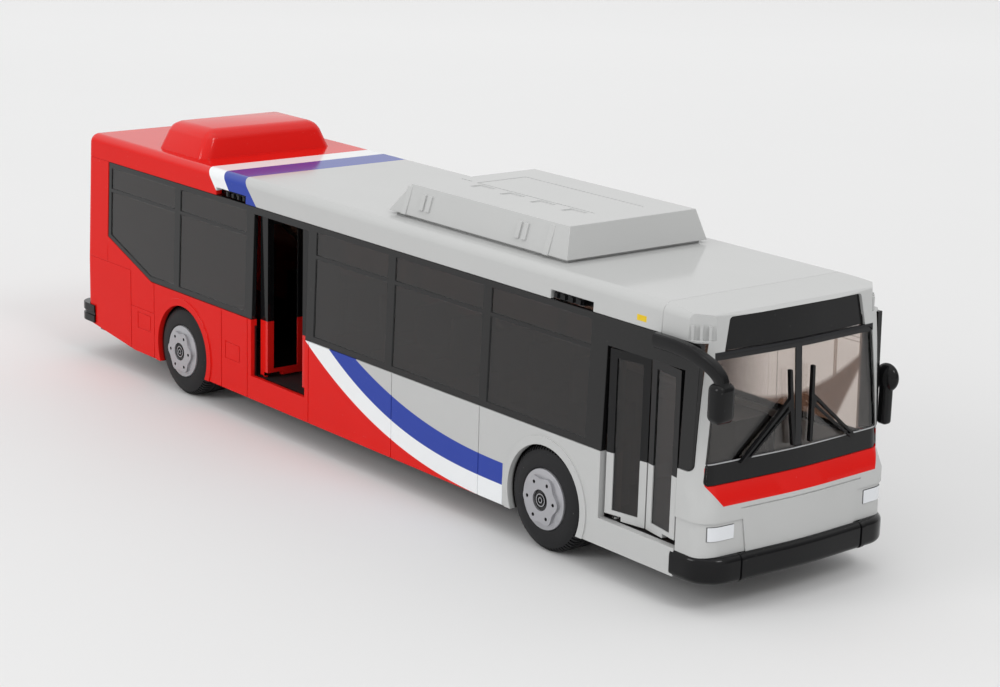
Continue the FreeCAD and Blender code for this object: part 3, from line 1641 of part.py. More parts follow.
def make_wheels():
    """Two axles, each with two tyres and two hubs."""
    for end, axle in (("front", dim.front_axle), ("rear", -dim.rear_axle)):
        make_axle(end + "_axle", axle)
        for name, side in (("right", -1), ("left", 1)):
            make_tyre(f"{end}_tyre_{name}", axle, side)
            make_hub(f"{end}_hub_{name}", axle, side)


def make_face():
    """The sign, both headlights and both wipers, which follow the front cap's form."""
    keep(front_layer("destination_sign", dim.sign_recess, dim.glass_thickness, sign_outline(0)))
    for name, side in (("right", -1), ("left", 1)):
        keep(front_layer("headlight_" + name, dim.fit_gap, 1.7, headlight_outline(side, 0)))
        arm = cut(f"wiper_{name}_layer", front_form(-1.1), front_form(-0.1))
        shape = front_window(f"wiper_{name}_window", wiper_outline(side), wiper_slot(side))
        keep(common("wiper_" + name, arm, shape))


def build():
    """Makes every sub-part in order."""
    shell = make_shell()
    roof, tail, right, left = make_panels(shell)
    keep(tail_details(tail))
    make_wall(right, -1)
    make_wall(left, 1)
    make_roof(roof)
    make_glass(-1)
    make_glass(1)
    make_front()
    make_windshield()
    make_face()
    make_front_bumper()
    make_rear_bumper()
    make_front_unit()
    make_rear_unit()
    make_chassis()
    make_floor()
    make_seats("seats_right", -1, 4, dim.front_axle - dim.seats_from_axle)
    make_seats("seats_left", 1, 7, dim.front_axle - dim.seats_left_from_axle)
    make_wheels()
    make_doors()
    make_mirrors()


def check():
    """Stops before anything is written if an object failed or a shape is broken."""
    DOC.recompute()
    for item in DOC.Objects:
        faults = [state for state in item.State if state in ("Invalid", "Error")]
        if faults:
            raise RuntimeError(f"{item.Name} failed: {faults}")
    for item in NODES:
        if item.Shape.isNull() or not item.Shape.isValid():
            raise RuntimeError(f"{item.Label} has no valid shape")
    for item in DOC.Objects:
        if item.TypeId == "PartDesign::Pocket" and item.BaseFeature is not None:
            if item.Shape.Volume > item.BaseFeature.Shape.Volume - 0.001:
                raise RuntimeError(f"{item.Name} takes nothing away")


def write():
    """Writes each sub-part to a file named after it."""
    os.makedirs("parts", exist_ok=True)
    for item in NODES:
        item.Shape.exportStep(f"parts/{item.Label}.step")


build()
check()
write()
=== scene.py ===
"""Looks of a toy city bus: finishes, rounded mouldings, treads, panes and the studio round it."""

import json
import logging
import math
from collections.abc import Callable
from dataclasses import dataclass
from enum import Enum

import bmesh
import bpy
from mathutils import Matrix, Vector

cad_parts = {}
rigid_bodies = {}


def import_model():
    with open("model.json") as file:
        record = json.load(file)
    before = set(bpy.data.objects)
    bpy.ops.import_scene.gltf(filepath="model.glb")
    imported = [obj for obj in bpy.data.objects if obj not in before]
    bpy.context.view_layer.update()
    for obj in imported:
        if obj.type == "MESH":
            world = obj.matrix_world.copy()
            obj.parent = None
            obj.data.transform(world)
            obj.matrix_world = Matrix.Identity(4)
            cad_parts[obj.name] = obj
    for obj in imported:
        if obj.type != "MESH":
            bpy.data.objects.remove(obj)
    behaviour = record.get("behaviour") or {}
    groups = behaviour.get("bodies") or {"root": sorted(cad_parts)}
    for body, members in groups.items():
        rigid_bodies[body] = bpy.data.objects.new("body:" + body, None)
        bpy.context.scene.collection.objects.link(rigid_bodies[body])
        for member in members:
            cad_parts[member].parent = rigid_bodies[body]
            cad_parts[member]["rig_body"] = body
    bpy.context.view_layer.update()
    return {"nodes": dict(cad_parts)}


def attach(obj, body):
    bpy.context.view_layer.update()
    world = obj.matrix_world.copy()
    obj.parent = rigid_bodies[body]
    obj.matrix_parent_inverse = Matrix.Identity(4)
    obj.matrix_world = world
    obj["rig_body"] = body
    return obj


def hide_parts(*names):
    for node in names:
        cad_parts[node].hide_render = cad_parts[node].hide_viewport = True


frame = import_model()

LOG = logging.getLogger("toy_bus")
MM = 0.001

Colour = tuple[float, float, float]
Value = float | bpy.types.NodeSocket
Point = tuple[float, float, float]
Outline = tuple[tuple[float, float], ...]
Line = tuple[Point, Point]
Chooser = Callable[[bmesh.types.BMFace], int]
Sorter = Callable[[bmesh.types.BMesh], Chooser]

MERGE = 0.002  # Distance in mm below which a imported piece's corners are one.
FLAT_ANGLE = 0.3  # Bend in degrees below which its facets are one face.
SMOOTH_ANGLE = 28.0  # Sharpest bend in degrees that is shaded smooth.
SHARP_ANGLE = 32.0  # Bend in degrees from which an edge is rounded.
FACING = 0.9  # Cosine from which a face counts as pointing a way.
BLACK: Colour = (0.005, 0.005, 0.0055)  # The tone of black plastic and of black print.


class Side(Enum):
    """A side of the bus, by the sign of Y."""

    RIGHT = -1
    LEFT = 1


class Graph:
    """A node tree with short calls that add a node, feed it and give back its output."""

    def __init__(self, tree: bpy.types.NodeTree) -> None:
        """Keeps the tree that the calls add to."""
        self.tree = tree

    def add(self, kind: str, **settings: object) -> bpy.types.Node:
        """Adds a node.

        Args:
            kind: The node's type name.
            settings: Properties to set on it.

        Returns:
            The new node.
        """
        node = self.tree.nodes.new(kind)
        for key, value in settings.items():
            setattr(node, key, value)
        return node

    def feed(self, socket: bpy.types.NodeSocket, value: object) -> None:
        """Links an input to another node's output, or sets its plain value.

        Args:
            socket: The input.
            value: An output socket, a number or a colour.
        """
        if isinstance(value, bpy.types.NodeSocket):
            self.tree.links.new(value, socket)
        else:
            socket.default_value = value

    def maths(self, operation: str, *values: Value) -> bpy.types.NodeSocket:
        """Adds a Math node.

        Args:
            operation: The Math node's operation.
            values: One to three numbers or sockets.

        Returns:
            The result's socket.
        """
        node = self.add("ShaderNodeMath", operation=operation)
        for socket, value in zip(node.inputs, values):
            self.feed(socket, value)
        return node.outputs[0]

    def blend(self, share: Value, first: object, second: object) -> bpy.types.NodeSocket:
        """Mixes two colours.

        Args:
            share: How much of the second colour shows.
            first: The first colour, as a socket or four numbers.
            second: The second colour.

        Returns:
            The mixed colour's socket.
        """
        node = self.add("ShaderNodeMix", data_type="RGBA")
        self.feed(node.inputs[0], share)
        self.feed(node.inputs[6], first)
        self.feed(node.inputs[7], second)
        return node.outputs[2]

    def noise(self, scale: float, detail: float = 2.0) -> bpy.types.NodeSocket:
        """Adds smooth noise over the object's own coordinates.

        Args:
            scale: Waves per metre.
            detail: How many finer layers it has.

        Returns:
            The noise's value socket.
        """
        node = self.add("ShaderNodeTexNoise")
        self.feed(node.inputs["Scale"], scale)
        self.feed(node.inputs["Detail"], detail)
        self.feed(node.inputs["Vector"], self.add("ShaderNodeTexCoord").outputs["Object"])
        return node.outputs["Fac"]

    def scaled(self, colour: bpy.types.NodeSocket, factor: Value) -> bpy.types.NodeSocket:
        """Brightens or darkens a colour.

        Args:
            colour: The colour's socket.
            factor: What it is multiplied by.

        Returns:
            The new colour's socket.
        """
        node = self.add("ShaderNodeVectorMath", operation="SCALE")
        self.feed(node.inputs[0], colour)
        self.feed(node.inputs["Scale"], factor)
        return node.outputs[0]

    def place(self) -> list[bpy.types.NodeSocket]:
        """Adds the surface point's place in the frame of the bus.

        Returns:
            The sockets of its X, Y and Z, in millimetres.
        """
        split = self.add("ShaderNodeSeparateXYZ")
        self.feed(split.inputs[0], self.add("ShaderNodeTexCoord").outputs["Object"])
        return [self.maths("MULTIPLY", socket, 1 / MM) for socket in split.outputs]

    def below(self, value: Value, edge: Value, blur: float) -> bpy.types.NodeSocket:
        """A mask that is 1 where a value lies below an edge, with a soft step.

        Args:
            value: The value compared, in millimetres.
            edge: The edge, in millimetres.
            blur: The width of the step, in millimetres.

        Returns:
            The mask's socket.
        """
        step = self.maths("DIVIDE", self.maths("SUBTRACT", edge, value), blur)
        node = self.add("ShaderNodeMath", operation="ADD", use_clamp=True)
        self.feed(node.inputs[0], step)
        self.feed(node.inputs[1], 0.5)
        return node.outputs[0]

    def within(self, value: Value, low: float, high: float, blur: float) -> bpy.types.NodeSocket:
        """A mask that is 1 where a value lies between two edges.

        Args:
            value: The value compared, in millimetres.
            low: The lower edge.
            high: The upper edge.
            blur: The width of each step.

        Returns:
            The mask's socket.
        """
        return self.maths("MULTIPLY", self.below(value, high, blur), self.below(low, value, blur))


def rgba(colour: Colour) -> tuple[float, float, float, float]:
    """A colour with full opacity."""
    return (*colour, 1.0)


def new_group(name: str, inputs: dict[str, object],
              outputs: dict[str, str]) -> tuple[Graph, bpy.types.Node, bpy.types.Node]:
    """Starts a shader node group.

    Args:
        name: The group's name.
        inputs: Input names with their default value, a number or a colour.
        outputs: Output names with their socket type.

    Returns:
        The group's graph, its input node and its output node.
    """
    tree = bpy.data.node_groups.new(name, "ShaderNodeTree")
    for title, value in inputs.items():
        kind = "NodeSocketFloat" if isinstance(value, float) else "NodeSocketColor"
        tree.interface.new_socket(title, in_out="INPUT", socket_type=kind).default_value = value
    for title, kind in outputs.items():
        tree.interface.new_socket(title, in_out="OUTPUT", socket_type=kind)
    graph = Graph(tree)
    return graph, graph.add("NodeGroupInput"), graph.add("NodeGroupOutput")


def pattern_group(name: str) -> tuple[Graph, bpy.types.NodeSocket]:
    """Starts a node group that gives one colour.

    Args:
        name: The group's name.

    Returns:
        The group's graph and the socket that takes its colour.
    """
    graph, _, made = new_group(name, {}, {"Colour": "NodeSocketColor"})
    return graph, made.inputs["Colour"]


@dataclass(frozen=True)
class Moulding:
    """The surface of a plastic moulding: faint flow marks, smudges, dust and a fine grain.

    Attributes:
        flow: Waves of the flow marks for each metre.
        specks: Waves of the dust.
        rarity: Level of that noise from which a speck shows.
        lint: A speck's colour.
        smudges: Waves of the smudges.
        grain: Waves of the grain.
        smoothest: The least roughness that a smudge leaves.
    """

    flow: float = 45.0
    specks: float = 2600.0
    rarity: float = 0.79
    lint: Colour = (0.55, 0.54, 0.52)
    smudges: float = 140.0
    grain: float = 900.0
    smoothest: float = 0.03

    def group(self) -> bpy.types.NodeTree:
        """Builds the node group.

        Returns:
            A group with Colour, Roughness and Height outputs.
        """
        inputs = {"Colour": rgba((0.5, 0.5, 0.5)), "Roughness": 0.3, "Mottle": 0.06, "Smudge": 0.08,
                  "Dust": 0.5}
        outputs = {"Colour": "NodeSocketColor", "Roughness": "NodeSocketFloat", "Height": "NodeSocketFloat"}
        graph, given, made = new_group("moulded_surface", inputs, outputs)
        flow = graph.maths("SUBTRACT", graph.noise(self.flow, 3.0), 0.5)
        shade = graph.maths("ADD", graph.maths("MULTIPLY", flow, given.outputs["Mottle"]), 1.0)
        toned = graph.scaled(given.outputs["Colour"], shade)
        specks = graph.maths("GREATER_THAN", graph.noise(self.specks, 1.0), self.rarity)
        dust = graph.maths("MULTIPLY", specks, given.outputs["Dust"])
        graph.feed(made.inputs["Colour"], graph.blend(dust, toned, rgba(self.lint)))
        smudge = graph.maths("SUBTRACT", graph.noise(self.smudges, 4.0), 0.5)
        smudged = graph.maths("MULTIPLY_ADD", smudge, given.outputs["Smudge"], given.outputs["Roughness"])
        graph.feed(made.inputs["Roughness"], graph.maths("MAXIMUM", smudged, self.smoothest))
        graph.feed(made.inputs["Height"], graph.noise(self.grain, 3.0))
        return graph.tree


@dataclass(frozen=True)
class SweepEdge:
    """A livery edge along the side: it falls from the belt and runs out level.

    Attributes:
        foot: Height of the level end.
        end: Where along the bus it is level.
        span: Length of the fall.
        rise: Height of the fall.
        power: How late the fall comes.
    """

    foot: float
    end: float
    span: float
    rise: float
    power: float

    def height(self, graph: Graph, along: Value) -> bpy.types.NodeSocket:
        """Adds the edge's height at a place along the bus.

        Args:
            graph: The node tree.
            along: That place.

        Returns:
            The height's socket.
        """
        share = graph.maths("DIVIDE", graph.maths("SUBTRACT", self.end, along), self.span)
        curve = graph.maths("POWER", graph.maths("MAXIMUM", share, 0.0), self.power)
        return graph.maths("MULTIPLY_ADD", curve, self.rise, self.foot)


@dataclass(frozen=True)
class RoofEdge:
    """A livery edge across the roof: bowed over the roof, then slanting down both sides.

    Attributes:
        middle: Its place along the bus on the centre line.
        bow: How much it moves forward with the square of Y.
        side: Its place at the eaves.
        slant: How much it moves forward for each millimetre down the side.
        eaves: The eaves' height.
    """

    middle: float
    bow: float
    side: float
    slant: float
    eaves: float = 63.8

    def along(self, graph: Graph, across: Value, height: Value) -> bpy.types.NodeSocket:
        """Adds the edge's place along the bus at a point of the roof.

        Args:
            graph: The node tree.
            across: The point's place across the bus.
            height: Its height.

        Returns:
            The place's socket.
        """
        square = graph.maths("MULTIPLY", across, across)
        top = graph.maths("MULTIPLY_ADD", square, self.bow, self.middle)
        drop = graph.maths("SUBTRACT", self.eaves, height)
        flank = graph.maths("MULTIPLY_ADD", drop, self.slant, self.side)
        return graph.maths("MAXIMUM", top, flank)


@dataclass(frozen=True)
class Livery:
    """The painted pattern of the body: red tail, silver front, white and blue sweeps, and painted shade
    inside the wheel arches.

    Attributes:
        silver: The paint of the front and the roof.
        red: The moulding's own red.
        white: The white stripe.
        blue: The blue stripe.
        sides: The edges along the side, from the blue stripe's down.
        roofs: The edges across the roof, from the blue stripe's back.
        waist: Height between the edges along the side and those across the roof.
        stripe_end: Where the side stripes stop, before the front wheel.
        blur: Width of a printed edge.
        join: Width of a step that nobody sees.
        marker: Colour of the small mark above the front door.
        marker_along: Where it starts and ends along the bus.
        marker_height: Its foot and top.
        shade: The painted shade inside the wheel arches, a dark tone where shadow falls.
        arch_depth: Distance from the middle where the arches' outer lips start.
        arch_fade: Width of the shade's edge there.
        arch_blur: Width of its other edges.
        arch_top: Height below which the arches lie.
        arch_span: The stretch of the bus that holds them.
    """

    silver: Colour = (0.52, 0.525, 0.52)
    red: Colour = (0.70, 0.012, 0.009)
    white: Colour = (0.84, 0.86, 0.87)
    blue: Colour = (0.035, 0.065, 0.36)
    sides: tuple[SweepEdge, ...] = (
        SweepEdge(18.1, 67.3, 62.7, 12.3, 2.3), SweepEdge(12.5, 66.8, 74.8, 18.1, 2.6),
        SweepEdge(7.3, 67.0, 84.9, 22.5, 2.4))
    roofs: tuple[RoofEdge, ...] = (
        RoofEdge(-64.2, 0.0095, -45.9, 1.05), RoofEdge(-75.4, 0.0115, -57.9, 0.85),
        RoofEdge(-81.0, 0.006, -65.3, 0.95))
    waist: float = 50.0
    stripe_end: float = 67.0
    blur: float = 0.12
    join: float = 1.0
    marker: Colour = (0.75, 0.52, 0.03)
    marker_along: tuple[float, float] = (111.9, 115.1)
    marker_height: tuple[float, float] = (63.7, 65.1)
    shade: Colour = (0.012, 0.011, 0.011)
    arch_depth: float = 29.3
    arch_fade: float = 0.6
    arch_blur: float = 0.2
    arch_top: float = 28.5
    arch_span: tuple[float, float] = (-100.0, 101.0)

    def group(self) -> bpy.types.NodeTree:
        """Builds the node group that paints the body, with painted shade inside the wheel arches.

        Returns:
            A group with a Colour output.
        """
        graph, painted = pattern_group("livery")
        along, across, height = graph.place()
        low = graph.below(height, self.waist, self.join)
        behind = graph.below(along, self.stripe_end, self.blur)
        colour: object = rgba(self.silver)
        for side, roof, paint in zip(self.sides, self.roofs, (self.blue, self.white, self.red)):
            under = graph.below(height, side.height(graph, along), self.blur)
            on_side = graph.maths("MULTIPLY", under, behind)
            on_roof = graph.below(along, roof.along(graph, across, height), self.blur)
            share = graph.add("ShaderNodeMix", data_type="FLOAT")
            for socket, value in zip((share.inputs[0], *share.inputs[2:4]), (low, on_roof, on_side)):
                graph.feed(socket, value)
            colour = graph.blend(share.outputs[0], colour, rgba(paint))
        marker = graph.maths("MULTIPLY", graph.within(along, *self.marker_along, self.blur),
                             graph.within(height, *self.marker_height, self.blur))
        marker = graph.maths("MULTIPLY", marker, graph.below(across, 0.0, self.join))
        colour = graph.blend(marker, colour, rgba(self.marker))
        # Painted shade: the arches' inner walls are darkened where shadow falls.
        arches = graph.maths("MULTIPLY", graph.below(height, self.arch_top, self.arch_blur),
                             graph.within(along, *self.arch_span, self.arch_blur))
        inside = graph.within(across, -self.arch_depth, self.arch_depth, self.arch_fade)
        shaded = graph.maths("MULTIPLY", inside, arches)
        graph.feed(painted, graph.blend(shaded, colour, rgba(self.shade)))
        return graph.tree


@dataclass(frozen=True)
class FrontBand:
    """The red band across the front, pointed at both ends, and the dark header bar, painted a little lighter
    than black as a painted reflection.

    Attributes:
        foot: Its lower edge.
        top: Its upper edge.
        hidden: How far it goes on above that, behind the windshield's foot.
        half_width: Distance of its points from the middle.
        taper: Length of each point.
        front: Place along the bus ahead of which the front is painted.
        header: Tone of the bar between the sign and the windshield: dark print painted a little lighter, a
            painted reflection.
        header_foot: That bar's lower edge.
        header_top: Its upper edge.
        header_half: Distance of its ends from the middle.
    """

    foot: float = 25.6
    top: float = 30.2
    hidden: float = 4.0
    half_width: float = 28.0
    taper: float = 3.2
    front: float = 128.0
    header: Colour = (0.022, 0.022, 0.024)
    header_foot: float = 58.4
    header_top: float = 60.1
    header_half: float = 25.5

    def group(self, livery: Livery) -> bpy.types.NodeTree:
        """Builds the node group that paints the front cap.

        Args:
            livery: Where the paints and the widths of their edges come from.

        Returns:
            A group with a Colour output.
        """
        graph, painted = pattern_group("front_band")
        along, across, height = graph.place()
        ahead = graph.below(self.front, along, livery.join)
        reach = graph.maths("SUBTRACT", self.half_width, graph.maths("ABSOLUTE", across))
        point = graph.maths("MAXIMUM", graph.maths("DIVIDE", reach, self.taper), 0.0)
        rise = graph.maths("MULTIPLY", graph.maths("MINIMUM", point, 1.0), self.top - self.foot)
        above = graph.below(graph.maths("SUBTRACT", self.top, rise), height, livery.blur)
        under = graph.below(height, self.top + self.hidden, livery.blur)
        inside = graph.maths("MULTIPLY", graph.below(0.0, reach, livery.blur), ahead)
        band = graph.maths("MULTIPLY", graph.maths("MULTIPLY", above, under), inside)
        # The header bar's dark print is painted a little lighter than black, a painted reflection.
        bar = graph.maths("MULTIPLY", graph.within(height, self.header_foot, self.header_top, livery.blur),
                          graph.within(across, -self.header_half, self.header_half, livery.blur))
        banded = graph.blend(band, rgba(livery.silver), rgba(livery.red))
        graph.feed(painted, graph.blend(graph.maths("MULTIPLY", bar, ahead), banded, rgba(self.header)))
        return graph.tree


def start_material(name: str) -> tuple[bpy.types.Material, Graph, bpy.types.Node]:
    """Starts a material.

    Args:
        name: Its name.

    Returns:
        The material, its graph and its shader.
    """
    made = bpy.data.materials.new(name)
    made.use_nodes = True
    return made, Graph(made.node_tree), made.node_tree.nodes["Principled BSDF"]


def mould(graph: Graph, shader: bpy.types.Node, shared: "Shared", tone: Colour | bpy.types.NodeTree,
          **values: float) -> bpy.types.Node:
    """Feeds a shader's colour and roughness from the moulded surface.

    Args:
        graph: The material's graph.
        shader: Its shader.
        shared: The node groups that finishes share.
        tone: The plastic's colour, or a group that gives it.
        values: What the surface's other inputs are set to.

    Returns:
        The surface's group node.
    """
    surface = graph.add("ShaderNodeGroup", node_tree=shared.moulded)
    if isinstance(tone, bpy.types.NodeTree):
        graph.feed(surface.inputs["Colour"], graph.add("ShaderNodeGroup", node_tree=tone).outputs["Colour"])
    else:
        graph.feed(surface.inputs["Colour"], rgba(tone))
    for title, value in values.items():
        graph.feed(surface.inputs[title], value)
    graph.feed(shader.inputs["Base Color"], surface.outputs["Colour"])
    graph.feed(shader.inputs["Roughness"], surface.outputs["Roughness"])
    return surface


@dataclass(frozen=True)
class Plastic:
    """A moulded or painted plastic.

    Attributes:
        name: The material's name.
        colour: Its own colour, unless a painted pattern gives it.
        roughness: Of the plastic.
        coat: Weight of the clear gloss over it.
        coat_roughness: Of that gloss.
        metallic: Share of metal flake.
        grain: Depth of the fine grain, in millimetres.
        mottle: How much the tone changes over the piece.
        dust: How strongly specks show.
        specular: Strength of the shine below the coat.
        side_coat: Weight of the gloss on upright faces, where it is less than on level ones.
        level: Upward share of a normal from which a face counts as level.
        level_blur: Width of that step.
    """

    name: str
    colour: Colour
    roughness: float = 0.3
    coat: float = 0.0
    coat_roughness: float = 0.06
    metallic: float = 0.0
    grain: float = 0.004
    mottle: float = 0.05
    dust: float = 0.2
    specular: float = 0.5
    side_coat: float | None = None
    level: float = 0.45
    level_blur: float = 0.3

    def material(self, shared: "Shared", paint: bpy.types.NodeTree | None = None) -> bpy.types.Material:
        """Builds the material.

        Args:
            shared: The node groups that finishes share.
            paint: A group that gives the colour, for a painted pattern.

        Returns:
            The material.
        """
        made, graph, shader = start_material(self.name)
        surface = mould(graph, shader, shared, paint or self.colour, Roughness=self.roughness,
                        Mottle=self.mottle, Dust=self.dust)
        settings = {"Specular IOR Level": self.specular, "Coat Weight": self.coat, "Metallic": self.metallic,
                    "Coat Roughness": self.coat_roughness}
        for title, value in settings.items():
            graph.feed(shader.inputs[title], value)
        if self.side_coat is not None:
            facing = graph.add("ShaderNodeSeparateXYZ")
            graph.feed(facing.inputs[0], graph.add("ShaderNodeNewGeometry").outputs["Normal"])
            level = graph.below(self.level, facing.outputs[2], self.level_blur)
            weight = graph.maths("MULTIPLY_ADD", level, self.coat - self.side_coat, self.side_coat)
            graph.feed(shader.inputs["Coat Weight"], weight)
        bump = graph.add("ShaderNodeBump")
        bump.inputs["Distance"].default_value = self.grain * MM
        graph.feed(bump.inputs["Height"], surface.outputs["Height"])
        graph.feed(shader.inputs["Normal"], bump.outputs[0])
        return made


@dataclass(frozen=True)
class Print:
    """Gloss black print with a second tone below a height, as on a door leaf's border.

    Attributes:
        name: The material's name.
        upper: The tone above.
        lower: The tone below.
        edge: The height where they meet.
        blur: Width of the step between them.
    """

    name: str
    upper: Colour
    lower: Colour
    edge: float = 30.4
    blur: float = 0.12

    def group(self) -> bpy.types.NodeTree:
        """Builds the two-tone pattern.

        Returns:
            A group with a Colour output.
        """
        graph, painted = pattern_group(self.name + "_pattern")
        low = graph.below(graph.place()[2], self.edge, self.blur)
        graph.feed(painted, graph.blend(low, rgba(self.upper), rgba(self.lower)))
        return graph.tree


@dataclass(frozen=True)
class ScreenPrint:
    """The print on the windshield: black, with a dark grey pillar and header painted a little lighter as a
    painted reflection, and a painted highlight below, a bright line along the sill.

    Attributes:
        black: The tone of the lower field.
        grey_with_painted_reflection: The tone of the pillar and the header: black print painted a little
            lighter, a painted reflection.
        bright: The tone of the thin line, a painted highlight where the sill's edge catches the light.
        sill: Height of the line's middle.
        line: The line's width.
        line_blur: Width of its edges.
        header: Height where the header starts.
        pillar: Half the pillar's width.
        pillar_foot: Height where it starts.
        blur: Width of a printed edge.
    """

    black: Colour = BLACK
    grey_with_painted_reflection: Colour = (0.016, 0.016, 0.017)
    bright: Colour = (0.42, 0.43, 0.44)
    sill: float = 34.85
    line: float = 0.3
    line_blur: float = 0.08
    header: float = 57.9
    pillar: float = 1.2
    pillar_foot: float = 35.6
    blur: float = 0.12

    def group(self) -> bpy.types.NodeTree:
        """Builds the pattern.

        Returns:
            A group with a Colour output.
        """
        graph, painted = pattern_group("screen_print_pattern")
        _, across, height = graph.place()
        top = graph.below(self.header, height, self.blur)
        pillar = graph.maths("MULTIPLY", graph.within(across, -self.pillar, self.pillar, self.blur),
                             graph.below(self.pillar_foot, height, self.blur))
        # The pillar and the header are painted a little lighter than black, a painted reflection.
        grey_with_painted_reflection = graph.blend(graph.maths("MAXIMUM", top, pillar), rgba(self.black), rgba(self.grey_with_painted_reflection))
        # Painted highlight: a thin bright line along the sill, where its edge catches the light.
        line = graph.within(height, self.sill - self.line / 2, self.sill + self.line / 2, self.line_blur)
        graph.feed(painted, graph.blend(line, grey_with_painted_reflection, rgba(self.bright)))
        return graph.tree


@dataclass(frozen=True)
class CabWindow:
    """The tint of the left side's foremost windows, which lets more through towards the front, with a painted
    shade, a curved dark field below, and a thin dark upright line.

    Attributes:
        clear: What the clear part lets through.
        painted_shade: What the curved dark field below it lets through, a painted shade seen through the
            glass.
        smoked: What the panes behind let through.
        start: Where along the bus the tint starts to fade.
        fade: Over what length it fades.
        curve: Foot, rise, start, length and power of the painted shade's upper edge.
        soft: How soft that edge is.
        slope: How far the field's front edge leans forward for each millimetre up.
        front: Where that edge would meet the floor's height.
        front_soft: How soft it is.
        seam: Where the thin upright line starts and ends.
        seam_soft: How soft its edges are.
    """

    clear: Colour = (0.80, 0.75, 0.72)
    painted_shade: Colour = (0.17, 0.10, 0.07)
    smoked: Colour = (0.075, 0.045, 0.034)
    start: float = 82.0
    fade: float = 15.0
    curve: tuple[float, float, float, float, float] = (31.5, 22.5, 84.0, 46.0, 2.2)
    soft: float = 1.4
    slope: float = 0.505
    front: float = 103.0
    front_soft: float = 1.0
    seam: tuple[float, float] = (118.75, 119.25)
    seam_soft: float = 0.15

    def group(self) -> bpy.types.NodeTree:
        """Builds the tint's pattern, with its painted shade.

        Returns:
            A group with a Colour output.
        """
        graph, painted = pattern_group("cab_window_tint")
        along, _, height = graph.place()
        foot, rise, start, length, power = self.curve
        share = graph.maths("DIVIDE", graph.maths("SUBTRACT", along, start), length)
        climb = graph.maths("POWER", graph.maths("MAXIMUM", share, 0.0), power)
        edge = graph.maths("MULTIPLY_ADD", climb, rise, foot)
        lean = graph.maths("MULTIPLY_ADD", height, -self.slope, along)
        # Painted shade: a curved dark field low in the panes stands in for the shade seen through the glass.
        field = graph.maths("MULTIPLY", graph.below(height, edge, self.soft),
                            graph.below(lean, self.front, self.front_soft))
        dark = graph.maths("MAXIMUM", field, graph.within(along, *self.seam, self.seam_soft))
        faded = graph.below(self.start + self.fade / 2, along, self.fade)
        tint = graph.blend(faded, rgba(self.smoked), rgba(self.clear))
        graph.feed(painted, graph.blend(graph.maths("MULTIPLY", dark, faded), tint, rgba(self.painted_shade)))
        return graph.tree


@dataclass(frozen=True)
class Pane:
    """Clear smoked plastic.

    Attributes:
        name: The material's name.
        tint: What each pane lets through.
        roughness: Of its faces.
        ior: Its index of refraction.
    """

    name: str
    tint: Colour
    roughness: float = 0.02
    ior: float = 1.49

    def material(self, shared: "Shared", pattern: bpy.types.NodeTree | None = None) -> bpy.types.Material:
        """Builds the material.

        Args:
            shared: The node groups that finishes share.
            pattern: A group that gives the tint, where it changes by place.

        Returns:
            The material.
        """
        made, graph, shader = start_material(self.name)
        mould(graph, shader, shared, pattern or self.tint, Roughness=self.roughness, Mottle=0.05, Dust=0.0,
              Smudge=0.0)
        shader.inputs["Transmission Weight"].default_value = 1.0
        shader.inputs["IOR"].default_value = self.ior
        return made


